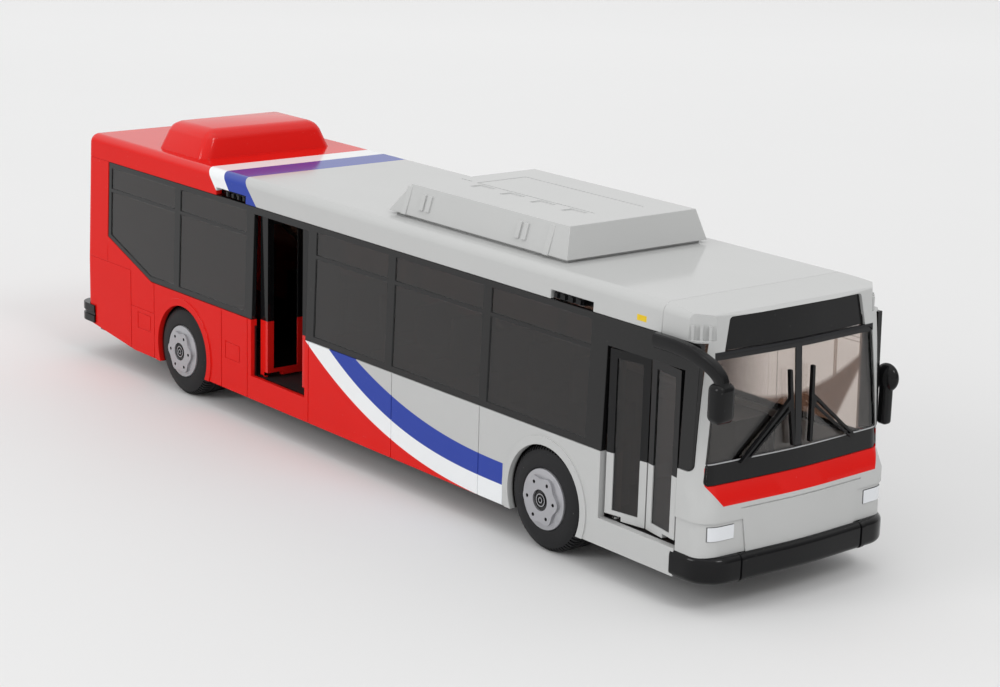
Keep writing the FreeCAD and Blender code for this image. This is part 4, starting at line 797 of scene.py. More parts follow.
class Shared:
    """Node groups that more than one finish uses, and the finishes themselves."""

    def __init__(self) -> None:
        """Builds the groups and the materials."""
        self.moulded = Moulding().group()
        livery = Livery()
        band = FrontBand().group(livery)
        gloss = {"roughness": 0.35, "coat": 0.8, "coat_roughness": 0.11, "specular": 0.0, "side_coat": 0.3}
        sheen = {"roughness": 0.10, "grain": 0.001, "specular": 0.25}
        # The body's livery holds painted shade inside the wheel arches.
        self.body = Plastic("body_paint", livery.silver, **gloss).material(self, livery.group())
        # The front's band holds a painted reflection on its header bar.
        self.front = Plastic("front_paint", livery.silver, **gloss).material(self, band)
        self.silver = Plastic("silver_paint", livery.silver, **gloss).material(self)
        self.red = Plastic("red_plastic", livery.red, **gloss).material(self)
        self.black = Plastic("black_plastic", BLACK, roughness=0.14, specular=0.22).material(self)
        self.print = Plastic("black_print", BLACK, **sheen).material(self)
        self.band_print = Plastic("band_print", (0.0085, 0.0083, 0.0085), roughness=0.10, grain=0.001,
                                  specular=0.35).material(self)
        # The windshield's print holds a painted highlight along the sill and a painted reflection on the
        # pillar and header.
        self.screen_print = Plastic("screen_print", BLACK, **sheen).material(self, ScreenPrint().group())
        self.front_leaf = Plastic("front_leaf_print", BLACK, **sheen).material(
            self, Print("front_leaf", BLACK, livery.silver).group())
        self.rear_leaf = Plastic("rear_leaf_print", BLACK, **sheen).material(
            self, Print("rear_leaf", BLACK, livery.red).group())
        self.tray = Plastic("tray_plastic", (0.016, 0.016, 0.017), roughness=0.45).material(self)
        self.seat = Plastic("seat_plastic", (0.030, 0.027, 0.026), roughness=0.5).material(self)
        self.lamp = Plastic("lamp_white", (0.74, 0.76, 0.79), roughness=0.15, coat=1.0).material(self)
        self.rim = Plastic("lamp_rim", (0.20, 0.205, 0.21), roughness=0.2, coat=0.5).material(self)
        self.steel = Plastic("axle_steel", (0.55, 0.55, 0.56), roughness=0.25, metallic=1.0).material(self)
        self.rubber = Plastic("tyre_rubber", (0.015, 0.015, 0.016), roughness=0.55, grain=0.02,
                              mottle=0.2, dust=0.25, specular=0.2).material(self)
        self.hub = Plastic("hub_silver", (0.42, 0.42, 0.44), roughness=0.36, metallic=0.55).material(self)
        self.recess = Plastic("hub_recess", (0.012, 0.012, 0.012), roughness=0.5).material(self)
        cab = CabWindow()
        self.smoked = Pane("smoked_pane", cab.smoked).material(self)
        # The clear panes hold the painted shade of the cab windows.
        self.clear = Pane("clear_pane", cab.clear).material(self, cab.group())
        self.screen = Pane("screen_pane", (0.80, 0.74, 0.70)).material(self)
        self.leaf = Pane("leaf_pane", (0.13, 0.085, 0.065)).material(self)


def score(shape: bmesh.types.BMesh, lines: tuple[Line, ...]) -> None:
    """Cuts a mesh's faces along planes, so that a finish can change there.

    Args:
        shape: The mesh.
        lines: A point, in millimetres, and a direction for each plane.
    """
    for point, direction in lines:
        everything = [*shape.verts, *shape.edges, *shape.faces]
        bmesh.ops.bisect_plane(shape, geom=everything, dist=0.0005 * MM, plane_co=Vector(point) * MM,
                               plane_no=Vector(direction))


def crease(shape: bmesh.types.BMesh) -> None:
    """Shades a mesh smooth, apart from its sharp edges.

    Args:
        shape: The mesh.
    """
    for face in shape.faces:
        face.smooth = True
    for edge in shape.edges:
        edge.smooth = edge.is_manifold and edge.calc_face_angle(0.0) < math.radians(SMOOTH_ANGLE)


def glazed(shape: bmesh.types.BMesh, least: float = 15.0, step: float = 0.15) -> Chooser:
    """Tells a pane from the print round it.

    The largest face is the piece's inner one. The print stands proud of the panes on the outer side.

    Args:
        shape: The mesh of a band or a leaf.
        least: Area from which an outer face counts, in square millimetres.
        step: How far below the print a face has to lie to be a pane.

    Returns:
        A function that gives 1 for a face of clear plastic and 0 for a printed one.
    """
    outward = -max(shape.faces, key=lambda face: face.calc_area()).normal
    outer = [face for face in shape.faces
             if face.normal.dot(outward) > FACING and face.calc_area() > least * MM * MM]
    proud = max(face.verts[0].co.dot(face.normal) for face in outer)

    def choose(face: bmesh.types.BMFace) -> int:
        """Gives a face's material index.

        Args:
            face: A face of the band or the leaf.

        Returns:
            1 for clear plastic, 0 for print.
        """
        facing = face.normal.dot(outward)
        if facing > FACING:
            return int(face.verts[0].co.dot(face.normal) < proud - step * MM)
        return int(facing < -FACING)

    return choose


def facing_front(shape: bmesh.types.BMesh, least: float = 0.3) -> Chooser:
    """Tells a lamp's lens, which faces forwards, from its rim.

    Args:
        shape: The lamp's mesh; not used.
        least: Forward share of a normal from which a face is the lens's.

    Returns:
        A function that gives 1 for a face of the lens and 0 for one of the rim.
    """

    def choose(face: bmesh.types.BMFace) -> int:
        """Gives a face's material index."""
        return int(face.normal.x > least)

    return choose


def stand_in(name: str, node: str, shape: bmesh.types.BMesh,
             materials: list[bpy.types.Material]) -> bpy.types.Object:
    """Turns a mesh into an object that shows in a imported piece's place.

    Args:
        name: The object's name.
        node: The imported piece's node name.
        shape: The mesh; it is freed.
        materials: Its materials, in the order of its faces' indices.

    Returns:
        The new object, at the origin, on the node's body.
    """
    crease(shape)
    mesh = bpy.data.meshes.new(name)
    shape.to_mesh(mesh)
    shape.free()
    for material in materials:
        mesh.materials.append(material)
    piece = bpy.data.objects.new(name, mesh)
    bpy.context.scene.collection.objects.link(piece)
    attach(piece, frame["nodes"][node]["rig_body"])
    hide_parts(node)
    return piece


def rounded_copy(node: str, materials: list[bpy.types.Material], radius: float, segments: int = 2,
                 lines: tuple[Line, ...] = (), sorter: Sorter | None = None) -> bpy.types.Object:
    """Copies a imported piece, joins its faces and rounds its edges as a moulding's are.

    Args:
        node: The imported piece's node name; the copy stands for it.
        materials: The copy's materials, the first for all its faces unless a sorter is given.
        radius: Edge radius in millimetres.
        segments: Faces across each rounded edge.
        lines: Planes along which its faces are cut first.
        sorter: Reads the mesh and gives the function that picks each face's material.

    Returns:
        The new object, at the origin, on the node's body.
    """
    shape = bmesh.new()
    shape.from_mesh(frame["nodes"][node].data)
    bmesh.ops.remove_doubles(shape, verts=shape.verts, dist=MERGE * MM)
    bmesh.ops.dissolve_limit(shape, angle_limit=math.radians(FLAT_ANGLE), verts=shape.verts,
                             edges=shape.edges, delimit=set())
    choose = sorter(shape) if sorter else None
    score(shape, lines)
    for face in shape.faces:
        face.material_index = choose(face) if choose else 0
    piece = stand_in(node + "_moulding", node, shape, materials)
    bevel = piece.modifiers.new("rounded_edges", "BEVEL")
    bevel.width = radius * MM
    bevel.segments = segments
    bevel.limit_method = "ANGLE"
    bevel.angle_limit = math.radians(SHARP_ANGLE)
    bevel.harden_normals = False
    weighted = piece.modifiers.new("flat_faces", "WEIGHTED_NORMAL")
    weighted.keep_sharp = True
    weighted.weight = 60
    return piece


def box_of(node: str) -> Line:
    """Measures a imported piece.

    Args:
        node: Its node name.

    Returns:
        Its lowest and highest corner, in millimetres.
    """
    corners = [vertex.co / MM for vertex in frame["nodes"][node].data.vertices]
    low, high = ([pick(corner[axis] for corner in corners) for axis in range(3)] for pick in (min, max))
    return tuple(low), tuple(high)


def fitted(box: Line) -> Matrix:
    """Finds how a form of size 1 round the origin is brought into a box.

    Args:
        box: The box's lowest and highest corner, in millimetres.

    Returns:
        The matrix that does it.
    """
    low, high = (Vector(corner) * MM for corner in box)
    return Matrix.Translation((low + high) / 2) @ Matrix.Diagonal((*(high - low), 1.0))


def soften(shape: bmesh.types.BMesh, edges: list[bmesh.types.BMEdge], radius: float, steps: int) -> None:
    """Rounds edges of a mesh.

    Args:
        shape: The mesh.
        edges: The edges.
        radius: Their radius in millimetres.
        steps: Faces across each.
    """
    bmesh.ops.bevel(shape, geom=edges, offset=radius * MM, offset_type="OFFSET", segments=steps, profile=0.5,
                    affect="EDGES", material=-1)
    bmesh.ops.recalc_face_normals(shape, faces=shape.faces)


def turned(outline: Outline, steps: int) -> bmesh.types.BMesh:
    """Turns an outline about the Y axis.

    Args:
        outline: Radius and place along the axis of each point, in millimetres.
        steps: Faces round the turn.

    Returns:
        The mesh.
    """
    shape = bmesh.new()
    points = [shape.verts.new((radius * MM, place * MM, 0.0)) for radius, place in outline]
    edges = [shape.edges.new(pair) for pair in zip(points, points[1:])]
    bmesh.ops.spin(shape, geom=[*points, *edges], cent=(0, 0, 0), axis=(0, 1, 0), angle=math.tau, steps=steps,
                   use_merge=True)
    bmesh.ops.remove_doubles(shape, verts=shape.verts, dist=0.001 * MM)
    bmesh.ops.recalc_face_normals(shape, faces=shape.faces)
    return shape


def looped(shape: bmesh.types.BMesh, corners: list[Vector]) -> list[bmesh.types.BMEdge]:
    """Draws a closed loop.

    Args:
        shape: The mesh.
        corners: The loop's corners, in millimetres.

    Returns:
        Its edges.
    """
    made = [shape.verts.new(corner * MM) for corner in corners]
    return [shape.edges.new(pair) for pair in zip(made, made[1:] + made[:1])]


def led(rings: list[list[Vector]]) -> bmesh.types.BMesh:
    """Leads a section through a row of places and closes both ends.

    Args:
        rings: The section's corners at each place, in millimetres.

    Returns:
        The mesh.
    """
    shape = bmesh.new()
    loops = [looped(shape, ring) for ring in rings]
    for first, second in zip(loops, loops[1:]):
        bmesh.ops.bridge_loops(shape, edges=first + second)
    for end in (loops[0], loops[-1]):
        bmesh.ops.contextual_create(shape, geom=end)
    bmesh.ops.recalc_face_normals(shape, faces=shape.faces)
    return shape


def dress(node: str, material: bpy.types.Material) -> None:
    """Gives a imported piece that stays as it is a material.

    Args:
        node: The piece's node name.
        material: Its material.
    """
    mesh = frame["nodes"][node].data
    mesh.materials.clear()
    mesh.materials.append(material)


@dataclass
class BodyShell:
    """The painted shell: roof, tail, side walls, front cap and roof units.

    Attributes:
        edge: Edge radius of the shell's pieces.
        unit_edge: Edge radius of the front roof unit.
        edge_steps: Faces across these edges.
        hump_edge: Edge radius of the rear roof unit.
        hump_steps: Faces across it.
        hump_lean: How far its top is drawn in along and across the bus.
        hump_trim: How much it is smaller than its solid.
    """

    edge: float = 0.22
    unit_edge: float = 0.5
    edge_steps: int = 3
    hump_edge: float = 3.2
    hump_steps: int = 8
    hump_lean: tuple[float, float] = (1.5, 3.6)
    hump_trim: Point = (2.5, 3.5, 0.6)

    def build(self, shared: Shared) -> list[bpy.types.Object]:
        """Makes the shell's mouldings.

        Args:
            shared: The finishes.

        Returns:
            The pieces.
        """
        pieces = []
        for node in ("roof_shell", "tail_shell", "side_wall_right", "side_wall_left"):
            piece = rounded_copy(node, [shared.body], self.edge, self.edge_steps)
            pieces.append(piece)
        mask = rounded_copy("front_mask", [shared.front], self.edge, self.edge_steps)
        unit = rounded_copy("roof_unit_front", [shared.silver], self.unit_edge, self.edge_steps)
        return pieces + [mask, unit,
                         self.hump(shared)]

    def hump(self, shared: Shared) -> bpy.types.Object:
        """Makes the rear roof unit, a loaf with leaning sides and large soft edges.

        Args:
            shared: The finishes.

        Returns:
            The piece.
        """
        low, high = (Vector(corner) * MM for corner in box_of("roof_unit_rear"))
        high -= Vector(self.hump_trim) * MM
        middle, size = (low + high) / 2, high - low
        foot = Matrix.Translation((middle.x, middle.y, low.z)) @ Matrix.Diagonal((size.x, size.y, 1.0, 1.0))
        shape = bmesh.new()
        bmesh.ops.create_grid(shape, x_segments=1, y_segments=1, size=0.5, matrix=foot)
        made = bmesh.ops.extrude_face_region(shape, geom=list(shape.faces), use_keep_orig=True)["geom"]
        top = [item for item in made if isinstance(item, bmesh.types.BMVert)]
        for vertex in top:
            vertex.co.z = high.z
            for axis, lean in enumerate(self.hump_lean):
                vertex.co[axis] -= math.copysign(lean * MM, vertex.co[axis] - middle[axis])
        soft = [edge for edge in shape.edges if any(corner in top for corner in edge.verts)]
        soften(shape, soft, self.hump_edge, self.hump_steps)
        return stand_in("roof_unit_rear_loaf", "roof_unit_rear", shape, [shared.red])


@dataclass
class BlackTrim:
    """Bumpers, mirrors, wipers, sign, headlights, levers, chassis, cabin floor and seats.

    Attributes:
        edge: Edge radius of the levers.
        bumper_edge: Edge radius of the rear bumper.
        thin_edge: Edge radius of the wipers and the sign.
        lamp_edge: Edge radius of the headlights.
        edge_steps: Faces across the edges.
    """

    edge: float = 0.2
    bumper_edge: float = 0.5
    thin_edge: float = 0.12
    lamp_edge: float = 0.3
    edge_steps: int = 3

    def build(self, shared: Shared) -> list[bpy.types.Object]:
        """Makes the black mouldings and the headlights.

        Args:
            shared: The finishes.

        Returns:
            The pieces.
        """
        radii = {"rear_bumper": self.bumper_edge, "wiper_right": self.thin_edge, "wiper_left": self.thin_edge,
                 "front_door_lever": self.edge, "rear_door_lever": self.edge}
        pieces = [rounded_copy(node, [shared.black], radius, self.edge_steps)
                  for node, radius in radii.items()]
        pieces += Bumper().build(shared)
        pieces += Mirrors().build(shared)
        pieces.append(rounded_copy("destination_sign", [shared.print], self.thin_edge))
        for side in Side:
            name = side.name.lower()
            lamp = rounded_copy("headlight_" + name, [shared.rim, shared.lamp], self.lamp_edge,
                                self.edge_steps, sorter=facing_front)
            pieces.append(lamp)
            dress("seats_" + name, shared.seat)
        for node in ("chassis", "cabin_floor"):
            dress(node, shared.tray)
        return pieces


@dataclass
class Bumper:
    """The front bumper: a bar with round edges led round the nose, and two ribs on it.

    Attributes:
        tail: Where its sides end.
        half: Half its width over the sides.
        corner: Radius of its corners, in plan.
        corner_start: Where they start along the bus.
        corner_turn: How far they turn, in degrees.
        corner_steps: Faces round each.
        nose: Its foremost point.
        bow: How far the front falls back over the bowed middle.
        middle: Half the width of that middle.
        front_steps: Faces along each half of the front.
        heights: Its foot and top.
        depth: How deep the bar is.
        rounding: Radius of its upper and lower edges.
        edge_steps: Faces across them.
        ribs: Inner and outer edge of a rib.
        rib_height: How far a rib stands proud.
    """

    tail: float = 127.4
    half: float = 30.8
    corner: float = 8.0
    corner_start: float = 131.9
    corner_turn: float = 87.0
    corner_steps: int = 14
    nose: float = 140.9
    bow: float = 0.23
    middle: float = 8.3
    front_steps: int = 8
    heights: tuple[float, float] = (7.4, 13.9)
    depth: float = 3.2
    rounding: float = 1.5
    edge_steps: int = 6
    ribs: tuple[float, float] = (19.0, 20.2)
    rib_height: float = 0.3

    def front(self, across: float) -> Vector:
        """Finds the front's outline, bowed in the middle and straight beside it.

        Args:
            across: A place across the bus.

        Returns:
            The outline's point there.
        """
        away = abs(across)
        back = self.bow * (away / self.middle) ** 2
        if away > self.middle:
            back = self.bow * (2 * away / self.middle - 1)
        return Vector((self.nose - back, across, 0.0))

    def plan(self) -> list[Vector]:
        """Draws the bar's outline in plan, from the right side round the nose to the left side.

        Returns:
            Its points.
        """
        centre = self.half - self.corner
        right = [Vector((self.tail, -self.half, 0.0))]
        for step in range(self.corner_steps + 1):
            turn = math.radians(self.corner_turn * step / self.corner_steps)
            right.append(Vector((self.corner_start + self.corner * math.sin(turn),
                                 -centre - self.corner * math.cos(turn), 0.0)))
        right += [self.front(centre * (step / self.front_steps - 1)) for step in range(1, self.front_steps)]
        return right + [self.front(0.0)] + [Vector((point.x, -point.y, 0.0)) for point in reversed(right)]

    def section(self, proud: float) -> Outline:
        """Draws the bar's section.

        Args:
            proud: How far it is moved outwards.

        Returns:
            Inset and height of each point, from the inner foot to the inner top.
        """
        foot, top = self.heights
        reach = self.rounding
        points = [(self.depth, foot)]
        for middle, start in ((foot + reach, -90.0), (top - reach, 0.0)):
            for step in range(self.edge_steps + 1):
                turn = math.radians(start + 90 * step / self.edge_steps)
                points.append((reach - reach * math.cos(turn) - proud, middle + reach * math.sin(turn)))
        return (*points, (self.depth, top))

    def swept(self, path: list[Vector], proud: float) -> bmesh.types.BMesh:
        """Leads the section along a path.

        Args:
            path: The path's points in plan.
            proud: How far the section is moved outwards.

        Returns:
            The mesh, closed at both ends.
        """
        rings = []
        for before, point, after in zip(path[:1] + path, path, path[1:] + path[-1:]):
            ahead = (after - before).normalized()
            inward = Vector((-ahead.y, ahead.x, 0.0))
            rings.append([point + inward * inset + Vector((0.0, 0.0, height))
                          for inset, height in self.section(proud)])
        return led(rings)

    def build(self, shared: Shared) -> list[bpy.types.Object]:
        """Makes the bar and its ribs.

        Args:
            shared: The finishes.

        Returns:
            The pieces.
        """
        inner, outer = self.ribs
        parts = {"front_bumper_bar": self.swept(self.plan(), 0.0)}
        for side in Side:
            edges = sorted((side.value * inner, side.value * outer))
            path = [self.front(across) for across in (edges[0], sum(edges) / 2, edges[1])]
            parts[f"front_bumper_rib_{side.name.lower()}"] = self.swept(path, self.rib_height)
        return [stand_in(name, "front_bumper", shape, [shared.black])
                for name, shape in parts.items()]


@dataclass
class Mirrors:
    """The right mirror on its curved arm and the left mirror on its pod.

    Attributes:
        path: The arm's centre line, from the band above the door to the head.
        path_steps: Faces along each stretch of it.
        arm: Height and width of the arm's section.
        arm_corners: Faces round it.
        arm_square: How square it is, from 1 for an oval down to 0 for a box.
        head: Lowest and highest corner of the right head.
        head_edge: Its edge radius.
        pod: Lowest and highest corner of the part below the left head.
        pod_edge: Its edge radius.
        edge_steps: Faces across these edges.
        oval: Lowest and highest corner of the left head.
        oval_steps: Faces round it and from end to end.
    """

    path: tuple[Point, ...] = (
        (119.9, -30.7, 61.0), (127.0, -31.1, 61.1), (133.5, -31.3, 60.4), (138.4, -31.1, 58.8),
        (140.9, -30.7, 56.6), (141.1, -30.6, 54.0))
    path_steps: int = 6
    arm: tuple[float, float] = (3.4, 2.6)
    arm_corners: int = 16
    arm_square: float = 0.55
    head: Line = ((138.5, -33.0, 46.7), (143.2, -27.5, 55.8))
    head_edge: float = 1.7
    pod: Line = ((131.9, 30.4, 34.5), (135.0, 33.0, 45.0))
    pod_edge: float = 0.9
    edge_steps: int = 5
    oval: Line = ((129.8, 30.0, 42.3), (136.6, 34.0, 49.3))
    oval_steps: tuple[int, int] = (40, 24)

    def block(self, box: Line, edge: float) -> bmesh.types.BMesh:
        """Makes a soft-edged block.

        Args:
            box: Its lowest and highest corner.
            edge: Its edge radius.

        Returns:
            The mesh.
        """
        shape = bmesh.new()
        bmesh.ops.create_cube(shape, size=1.0, matrix=fitted(box))
        soften(shape, list(shape.edges), edge, self.edge_steps)
        return shape

    def curve(self) -> list[Vector]:
        """Draws the arm's centre line as a smooth curve through its path.

        Returns:
            Its points.
        """
        points = [Vector(point) for point in self.path]
        stretches = zip(points[:1] + points, points, points[1:], points[2:] + points[-1:])
        line = []
        for before, start, end, after in stretches:
            for step in range(self.path_steps):
                t = step / self.path_steps
                line.append(0.5 * (2 * start + (end - before) * t
                                   + (2 * before - 5 * start + 4 * end - after) * t ** 2
                                   + (3 * start - before - 3 * end + after) * t ** 3))
        return line + points[-1:]

    def swept(self) -> bmesh.types.BMesh:
        """Makes the arm: a rounded section led along its curve.

        Returns:
            The mesh.
        """
        line = self.curve()
        tall, wide = (value / 2 for value in self.arm)
        across = Vector((0.0, 1.0, 0.0))
        rings = []
        for before, point, after in zip(line[:1] + line, line, line[1:] + line[-1:]):
            up = (after - before).cross(across).normalized()
            ring = []
            for corner in range(self.arm_corners):
                angle = math.tau * corner / self.arm_corners
                side, rise = (math.copysign(abs(part) ** self.arm_square, part)
                              for part in (math.cos(angle), math.sin(angle)))
                ring.append(point + across * side * wide + up * rise * tall)
            rings.append(ring)
        return led(rings)

    def ball(self) -> bmesh.types.BMesh:
        """Makes the left mirror's oval head.

        Returns:
            The mesh.
        """
        shape = bmesh.new()
        around, along = self.oval_steps
        bmesh.ops.create_uvsphere(shape, u_segments=around, v_segments=along, radius=0.5,
                                  matrix=fitted(self.oval))
        return shape

    def build(self, shared: Shared) -> list[bpy.types.Object]:
        """Makes both mirrors.

        Args:
            shared: The finishes.

        Returns:
            The pieces.
        """
        parts = {"mirror_right_arm": self.swept(), "mirror_right_head": self.block(self.head, self.head_edge),
                 "mirror_left_head": self.ball(), "mirror_left_pod": self.block(self.pod, self.pod_edge)}
        return [stand_in(name, name.rsplit("_", 1)[0], shape, [shared.black])
                for name, shape in parts.items()]


@dataclass
class Glazing:
    """Side window bands, windshield and door leaves.

    Attributes:
        edge: Edge radius of all panes and leaves.
        clear_along: Where the left side's nearly clear panes start and end along the bus.
        clear_heights: Their foot and top.
        screen_heights: Foot and top of the windshield's panes.
        pillar: Half the width of the bar between them.
        leaning: Cosine from which a face of the leaning windshield points ahead or back.
    """

    edge: float = 0.12
    clear_along: tuple[float, float] = (82.0, 126.8)
    clear_heights: tuple[float, float] = (31.9, 60.9)
    screen_heights: tuple[float, float] = (35.0, 58.2)
    pillar: float = 1.2
    leaning: float = 0.8

    def left_sorter(self, shape: bmesh.types.BMesh) -> Chooser:
        """Sorts the left band's faces, with the clear panes ahead apart.

        Args:
            shape: The band's mesh.

        Returns:
            A function that gives 0 for print, 1 for a smoked pane and 2 for a clear one.
        """
        choose = glazed(shape)
        start, end = self.clear_along
        foot, top = self.clear_heights

        def choose_ahead(face: bmesh.types.BMFace) -> int:
            """Gives a face's material index."""
            centre = face.calc_center_median() / MM
            return 2 if start < centre.x < end and foot < centre.z < top else choose(face)

        return choose_ahead

    def screen_sorter(self, shape: bmesh.types.BMesh) -> Chooser:
        """Sorts the windshield's faces: clear inside and between the sill, the header and the pillar.

        Args:
            shape: The windshield's mesh; not used.

        Returns:
            A function that gives 1 for a face of clear plastic and 0 for a printed one.
        """
        low, high = self.screen_heights

        def choose(face: bmesh.types.BMFace) -> int:
            """Gives a face's material index.

            Args:
                face: A face of the windshield.

            Returns:
                1 for clear plastic, 0 for print.
            """
            if face.normal.x < -self.leaning:
                return 1
            centre = face.calc_center_median() / MM
            pane = low < centre.z < high and abs(centre.y) > self.pillar
            return int(pane and face.normal.x > self.leaning)

        return choose

    def build(self, shared: Shared) -> list[bpy.types.Object]:
        """Makes the glazing.

        Args:
            shared: The finishes.

        Returns:
            The pieces.
        """
        cuts = [((place, 0.0, 0.0), (1.0, 0.0, 0.0)) for place in self.clear_along]
        cuts += [((0.0, 0.0, height), (0.0, 0.0, 1.0)) for height in self.clear_heights]
        right = rounded_copy("window_band_right", [shared.band_print, shared.smoked], self.edge,
                             sorter=glazed)
        left = rounded_copy("window_band_left", [shared.band_print, shared.smoked, shared.clear], self.edge,
                            lines=tuple(cuts), sorter=self.left_sorter)
        screen = rounded_copy("windshield", [shared.screen_print, shared.screen], self.edge,
                              sorter=self.screen_sorter)
        pieces = [piece for piece in (right, left, screen)]
        doors = (("front", "door_silver", shared.front_leaf), ("rear", "door_red", shared.rear_leaf))
        for door, slot, border in doors:
            for half in ("back", "front"):
                leaf = rounded_copy(f"{door}_door_{half}_leaf", [border, shared.leaf], self.edge,
                                    sorter=glazed)
                pieces.append(leaf)
        return pieces


@dataclass
class Tyre:
    """A tyre with a bulged sidewall and notched shoulders.

    Attributes:
        steps: Faces round it, two for each notch.
        notch: Depth of the notches.
        wall: How far a notch's walls lean inwards.
        shoulder: Radius from which the notches start.
        band: From where to where they lie across the tread.
        outline: Radius and place along the axle of each point, from the outer rim round to it again.
    """

    steps: int = 148
    notch: float = 0.5
    wall: float = 0.04
    shoulder: float = 12.1
    band: tuple[float, float] = (2.6, 5.7)
    outline: Outline = (
        (7.5, 5.4), (7.6, 6.2), (8.1, 6.5), (9.3, 6.55), (10.7, 6.35), (11.5, 6.1), (12.1, 5.8), (12.65, 5.4),
        (13.05, 4.95), (13.17, 4.4), (13.17, 2.6), (13.17, 1.5), (12.75, 1.35), (12.75, 0.95), (13.17, 0.8),
        (13.17, -0.8), (12.75, -0.95), (12.75, -1.35), (13.17, -1.5), (13.17, -3.9), (12.5, -4.25),
        (7.5, -4.25), (7.5, 5.4))

    def build(self, shared: Shared, node: str, turn: Matrix) -> bpy.types.Object:
        """Makes one tyre.

        Args:
            shared: The finishes.
            node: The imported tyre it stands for.
            turn: Brings it from the origin to its place.

        Returns:
            The piece.
        """
        shape = turned(self.outline, self.steps)
        notched = [face for face in shape.faces if self.is_notch(face)]
        bmesh.ops.inset_region(shape, faces=notched, thickness=self.wall * MM, depth=-self.notch * MM,
                               use_even_offset=True)
        for face in notched:
            face.material_index = 1
        bmesh.ops.transform(shape, matrix=turn, verts=shape.verts)
        return stand_in(node + "_tread", node, shape, [shared.rubber, shared.recess])

    def is_notch(self, face: bmesh.types.BMFace) -> bool:
        """Tells whether a face lies in a notch.

        Args:
            face: A face of the tyre, round the origin.

        Returns:
            True for every other face across the shoulder.
        """
        centre = face.calc_center_median() / MM
        step = math.atan2(centre.z, centre.x) % math.tau / math.tau * self.steps
        across = self.band[0] < centre.y < self.band[1]
        return across and math.hypot(centre.x, centre.z) > self.shoulder and int(step) % 2 == 0


@dataclass
class Hub:
    """A silver wheel disc with a lobed plate, six nut recesses and a dark cap with rings.

    Attributes:
        steps: Faces round the disc and the plate.
        face: How far the plate stands out from the wheel's middle.
        rim: Height of the plate's rim.
        lobes: How many lobes and nuts it has.
        lobe: Mean radius of the plate.
        wave: How far its lobes stand out and in.
        nut_circle: Radius of the circle of nuts.
        nut: Radius of a nut recess.
        nut_depth: Its depth.
        cap: Radius of the dark recess in the middle.
        cap_depth: Its depth.
        cap_steps: Faces round it.
        silver: Place along the axle from which the rings are silver.
        disc: The disc's outline, as radius and place along the axle.
        rings: The cap's outline.
    """

    steps: int = 96
    face: float = 7.75
    rim: float = 0.85
    lobes: int = 6
    lobe: float = 5.85
    wave: float = 0.5
    nut_circle: float = 4.8
    nut: float = 0.5
    nut_depth: float = 0.6
    cap: float = 2.65
    cap_depth: float = 0.55
    cap_steps: int = 48
    silver: float = 7.55
    disc: Outline = (
        (0.0, -3.0), (7.6, -3.0), (7.6, 6.35), (7.5, 6.65), (7.25, 6.75), (6.95, 6.75), (6.5, 6.9),
        (6.0, 7.0), (5.4, 7.0), (0.0, 6.9))
    rings: Outline = (
        (0.0, 6.0), (2.62, 6.0), (2.62, 7.24), (1.62, 7.24), (1.62, 7.6), (1.4, 7.6), (1.4, 7.24),
        (0.72, 7.24), (0.72, 7.65), (0.5, 7.65), (0.5, 7.24), (0.0, 7.24))

    def ring(self, centre: Vector, radii: list[float]) -> list[Vector]:
        """Draws a closed line round a point of the plate's face.

        Args:
            centre: The point.
            radii: The line's distance from it at each of its corners.

        Returns:
            The corners.
        """
        corners = []
        for index, radius in enumerate(radii):
            turn = math.tau * index / len(radii)
            corners.append(centre + radius * Vector((math.cos(turn), 0.0, math.sin(turn))))
        return corners

    def plate(self, shape: bmesh.types.BMesh) -> None:
        """Adds the lobed plate with its holes.

        Args:
            shape: The mesh it is added to.
        """
        middle = Vector((0.0, self.face, 0.0))
        wave = [self.lobe + self.wave * math.cos(self.lobes * math.tau * index / self.steps)
                for index in range(self.steps)]
        rim = looped(shape, self.ring(middle, wave))
        nuts = [looped(shape, self.ring(place, [self.nut] * 6))
                for place in self.ring(middle, [self.nut_circle] * self.lobes)]
        cap = looped(shape, self.ring(middle, [self.cap] * self.cap_steps))
        bmesh.ops.triangle_fill(shape, edges=rim + cap + sum(nuts, []), use_beauty=True, use_dissolve=False)
        self.sink(shape, rim, self.rim)
        self.sink(shape, cap, self.cap_depth)
        for nut in nuts:
            self.sink(shape, nut, self.nut_depth, floor=1)

    def sink(self, shape: bmesh.types.BMesh, loop: list[bmesh.types.BMEdge], depth: float,
             floor: int | None = None) -> None:
        """Draws a loop's wall inwards.

        Args:
            shape: The mesh.
            loop: The loop's edges.
            depth: The wall's height.
            floor: The material index of the wall and of a floor at its foot, or None for a bare wall.
        """
        made = bmesh.ops.extrude_edge_only(shape, edges=loop)["geom"]
        lower = [item for item in made if isinstance(item, bmesh.types.BMVert)]
        bmesh.ops.translate(shape, verts=lower, vec=(0.0, -depth * MM, 0.0))
        if floor is None:
            return
        foot = [item for item in made if isinstance(item, bmesh.types.BMEdge)
                and all(corner in lower for corner in item.verts)]
        bottom = bmesh.ops.contextual_create(shape, geom=foot)["faces"]
        walls = [item for item in made if isinstance(item, bmesh.types.BMFace)]
        for face in bottom + walls:
            face.material_index = floor

    def build(self, shared: Shared, node: str, turn: Matrix) -> bpy.types.Object:
        """Makes one hub.

        Args:
            shared: The finishes.
            node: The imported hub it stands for.
            turn: Brings it from the origin to its place.

        Returns:
            The piece.
        """
        shape = turned(self.disc, self.steps)
        self.plate(shape)
        rings = turned(self.rings, self.cap_steps)
        for face in rings.faces:
            face.material_index = int(face.calc_center_median().y < self.silver * MM)
        spare = bpy.data.meshes.new("rings")
        rings.to_mesh(spare)
        rings.free()
        shape.from_mesh(spare)
        bpy.data.meshes.remove(spare)
        bmesh.ops.transform(shape, matrix=turn, verts=shape.verts)
        return stand_in(node + "_disc", node, shape, [shared.hub, shared.recess])


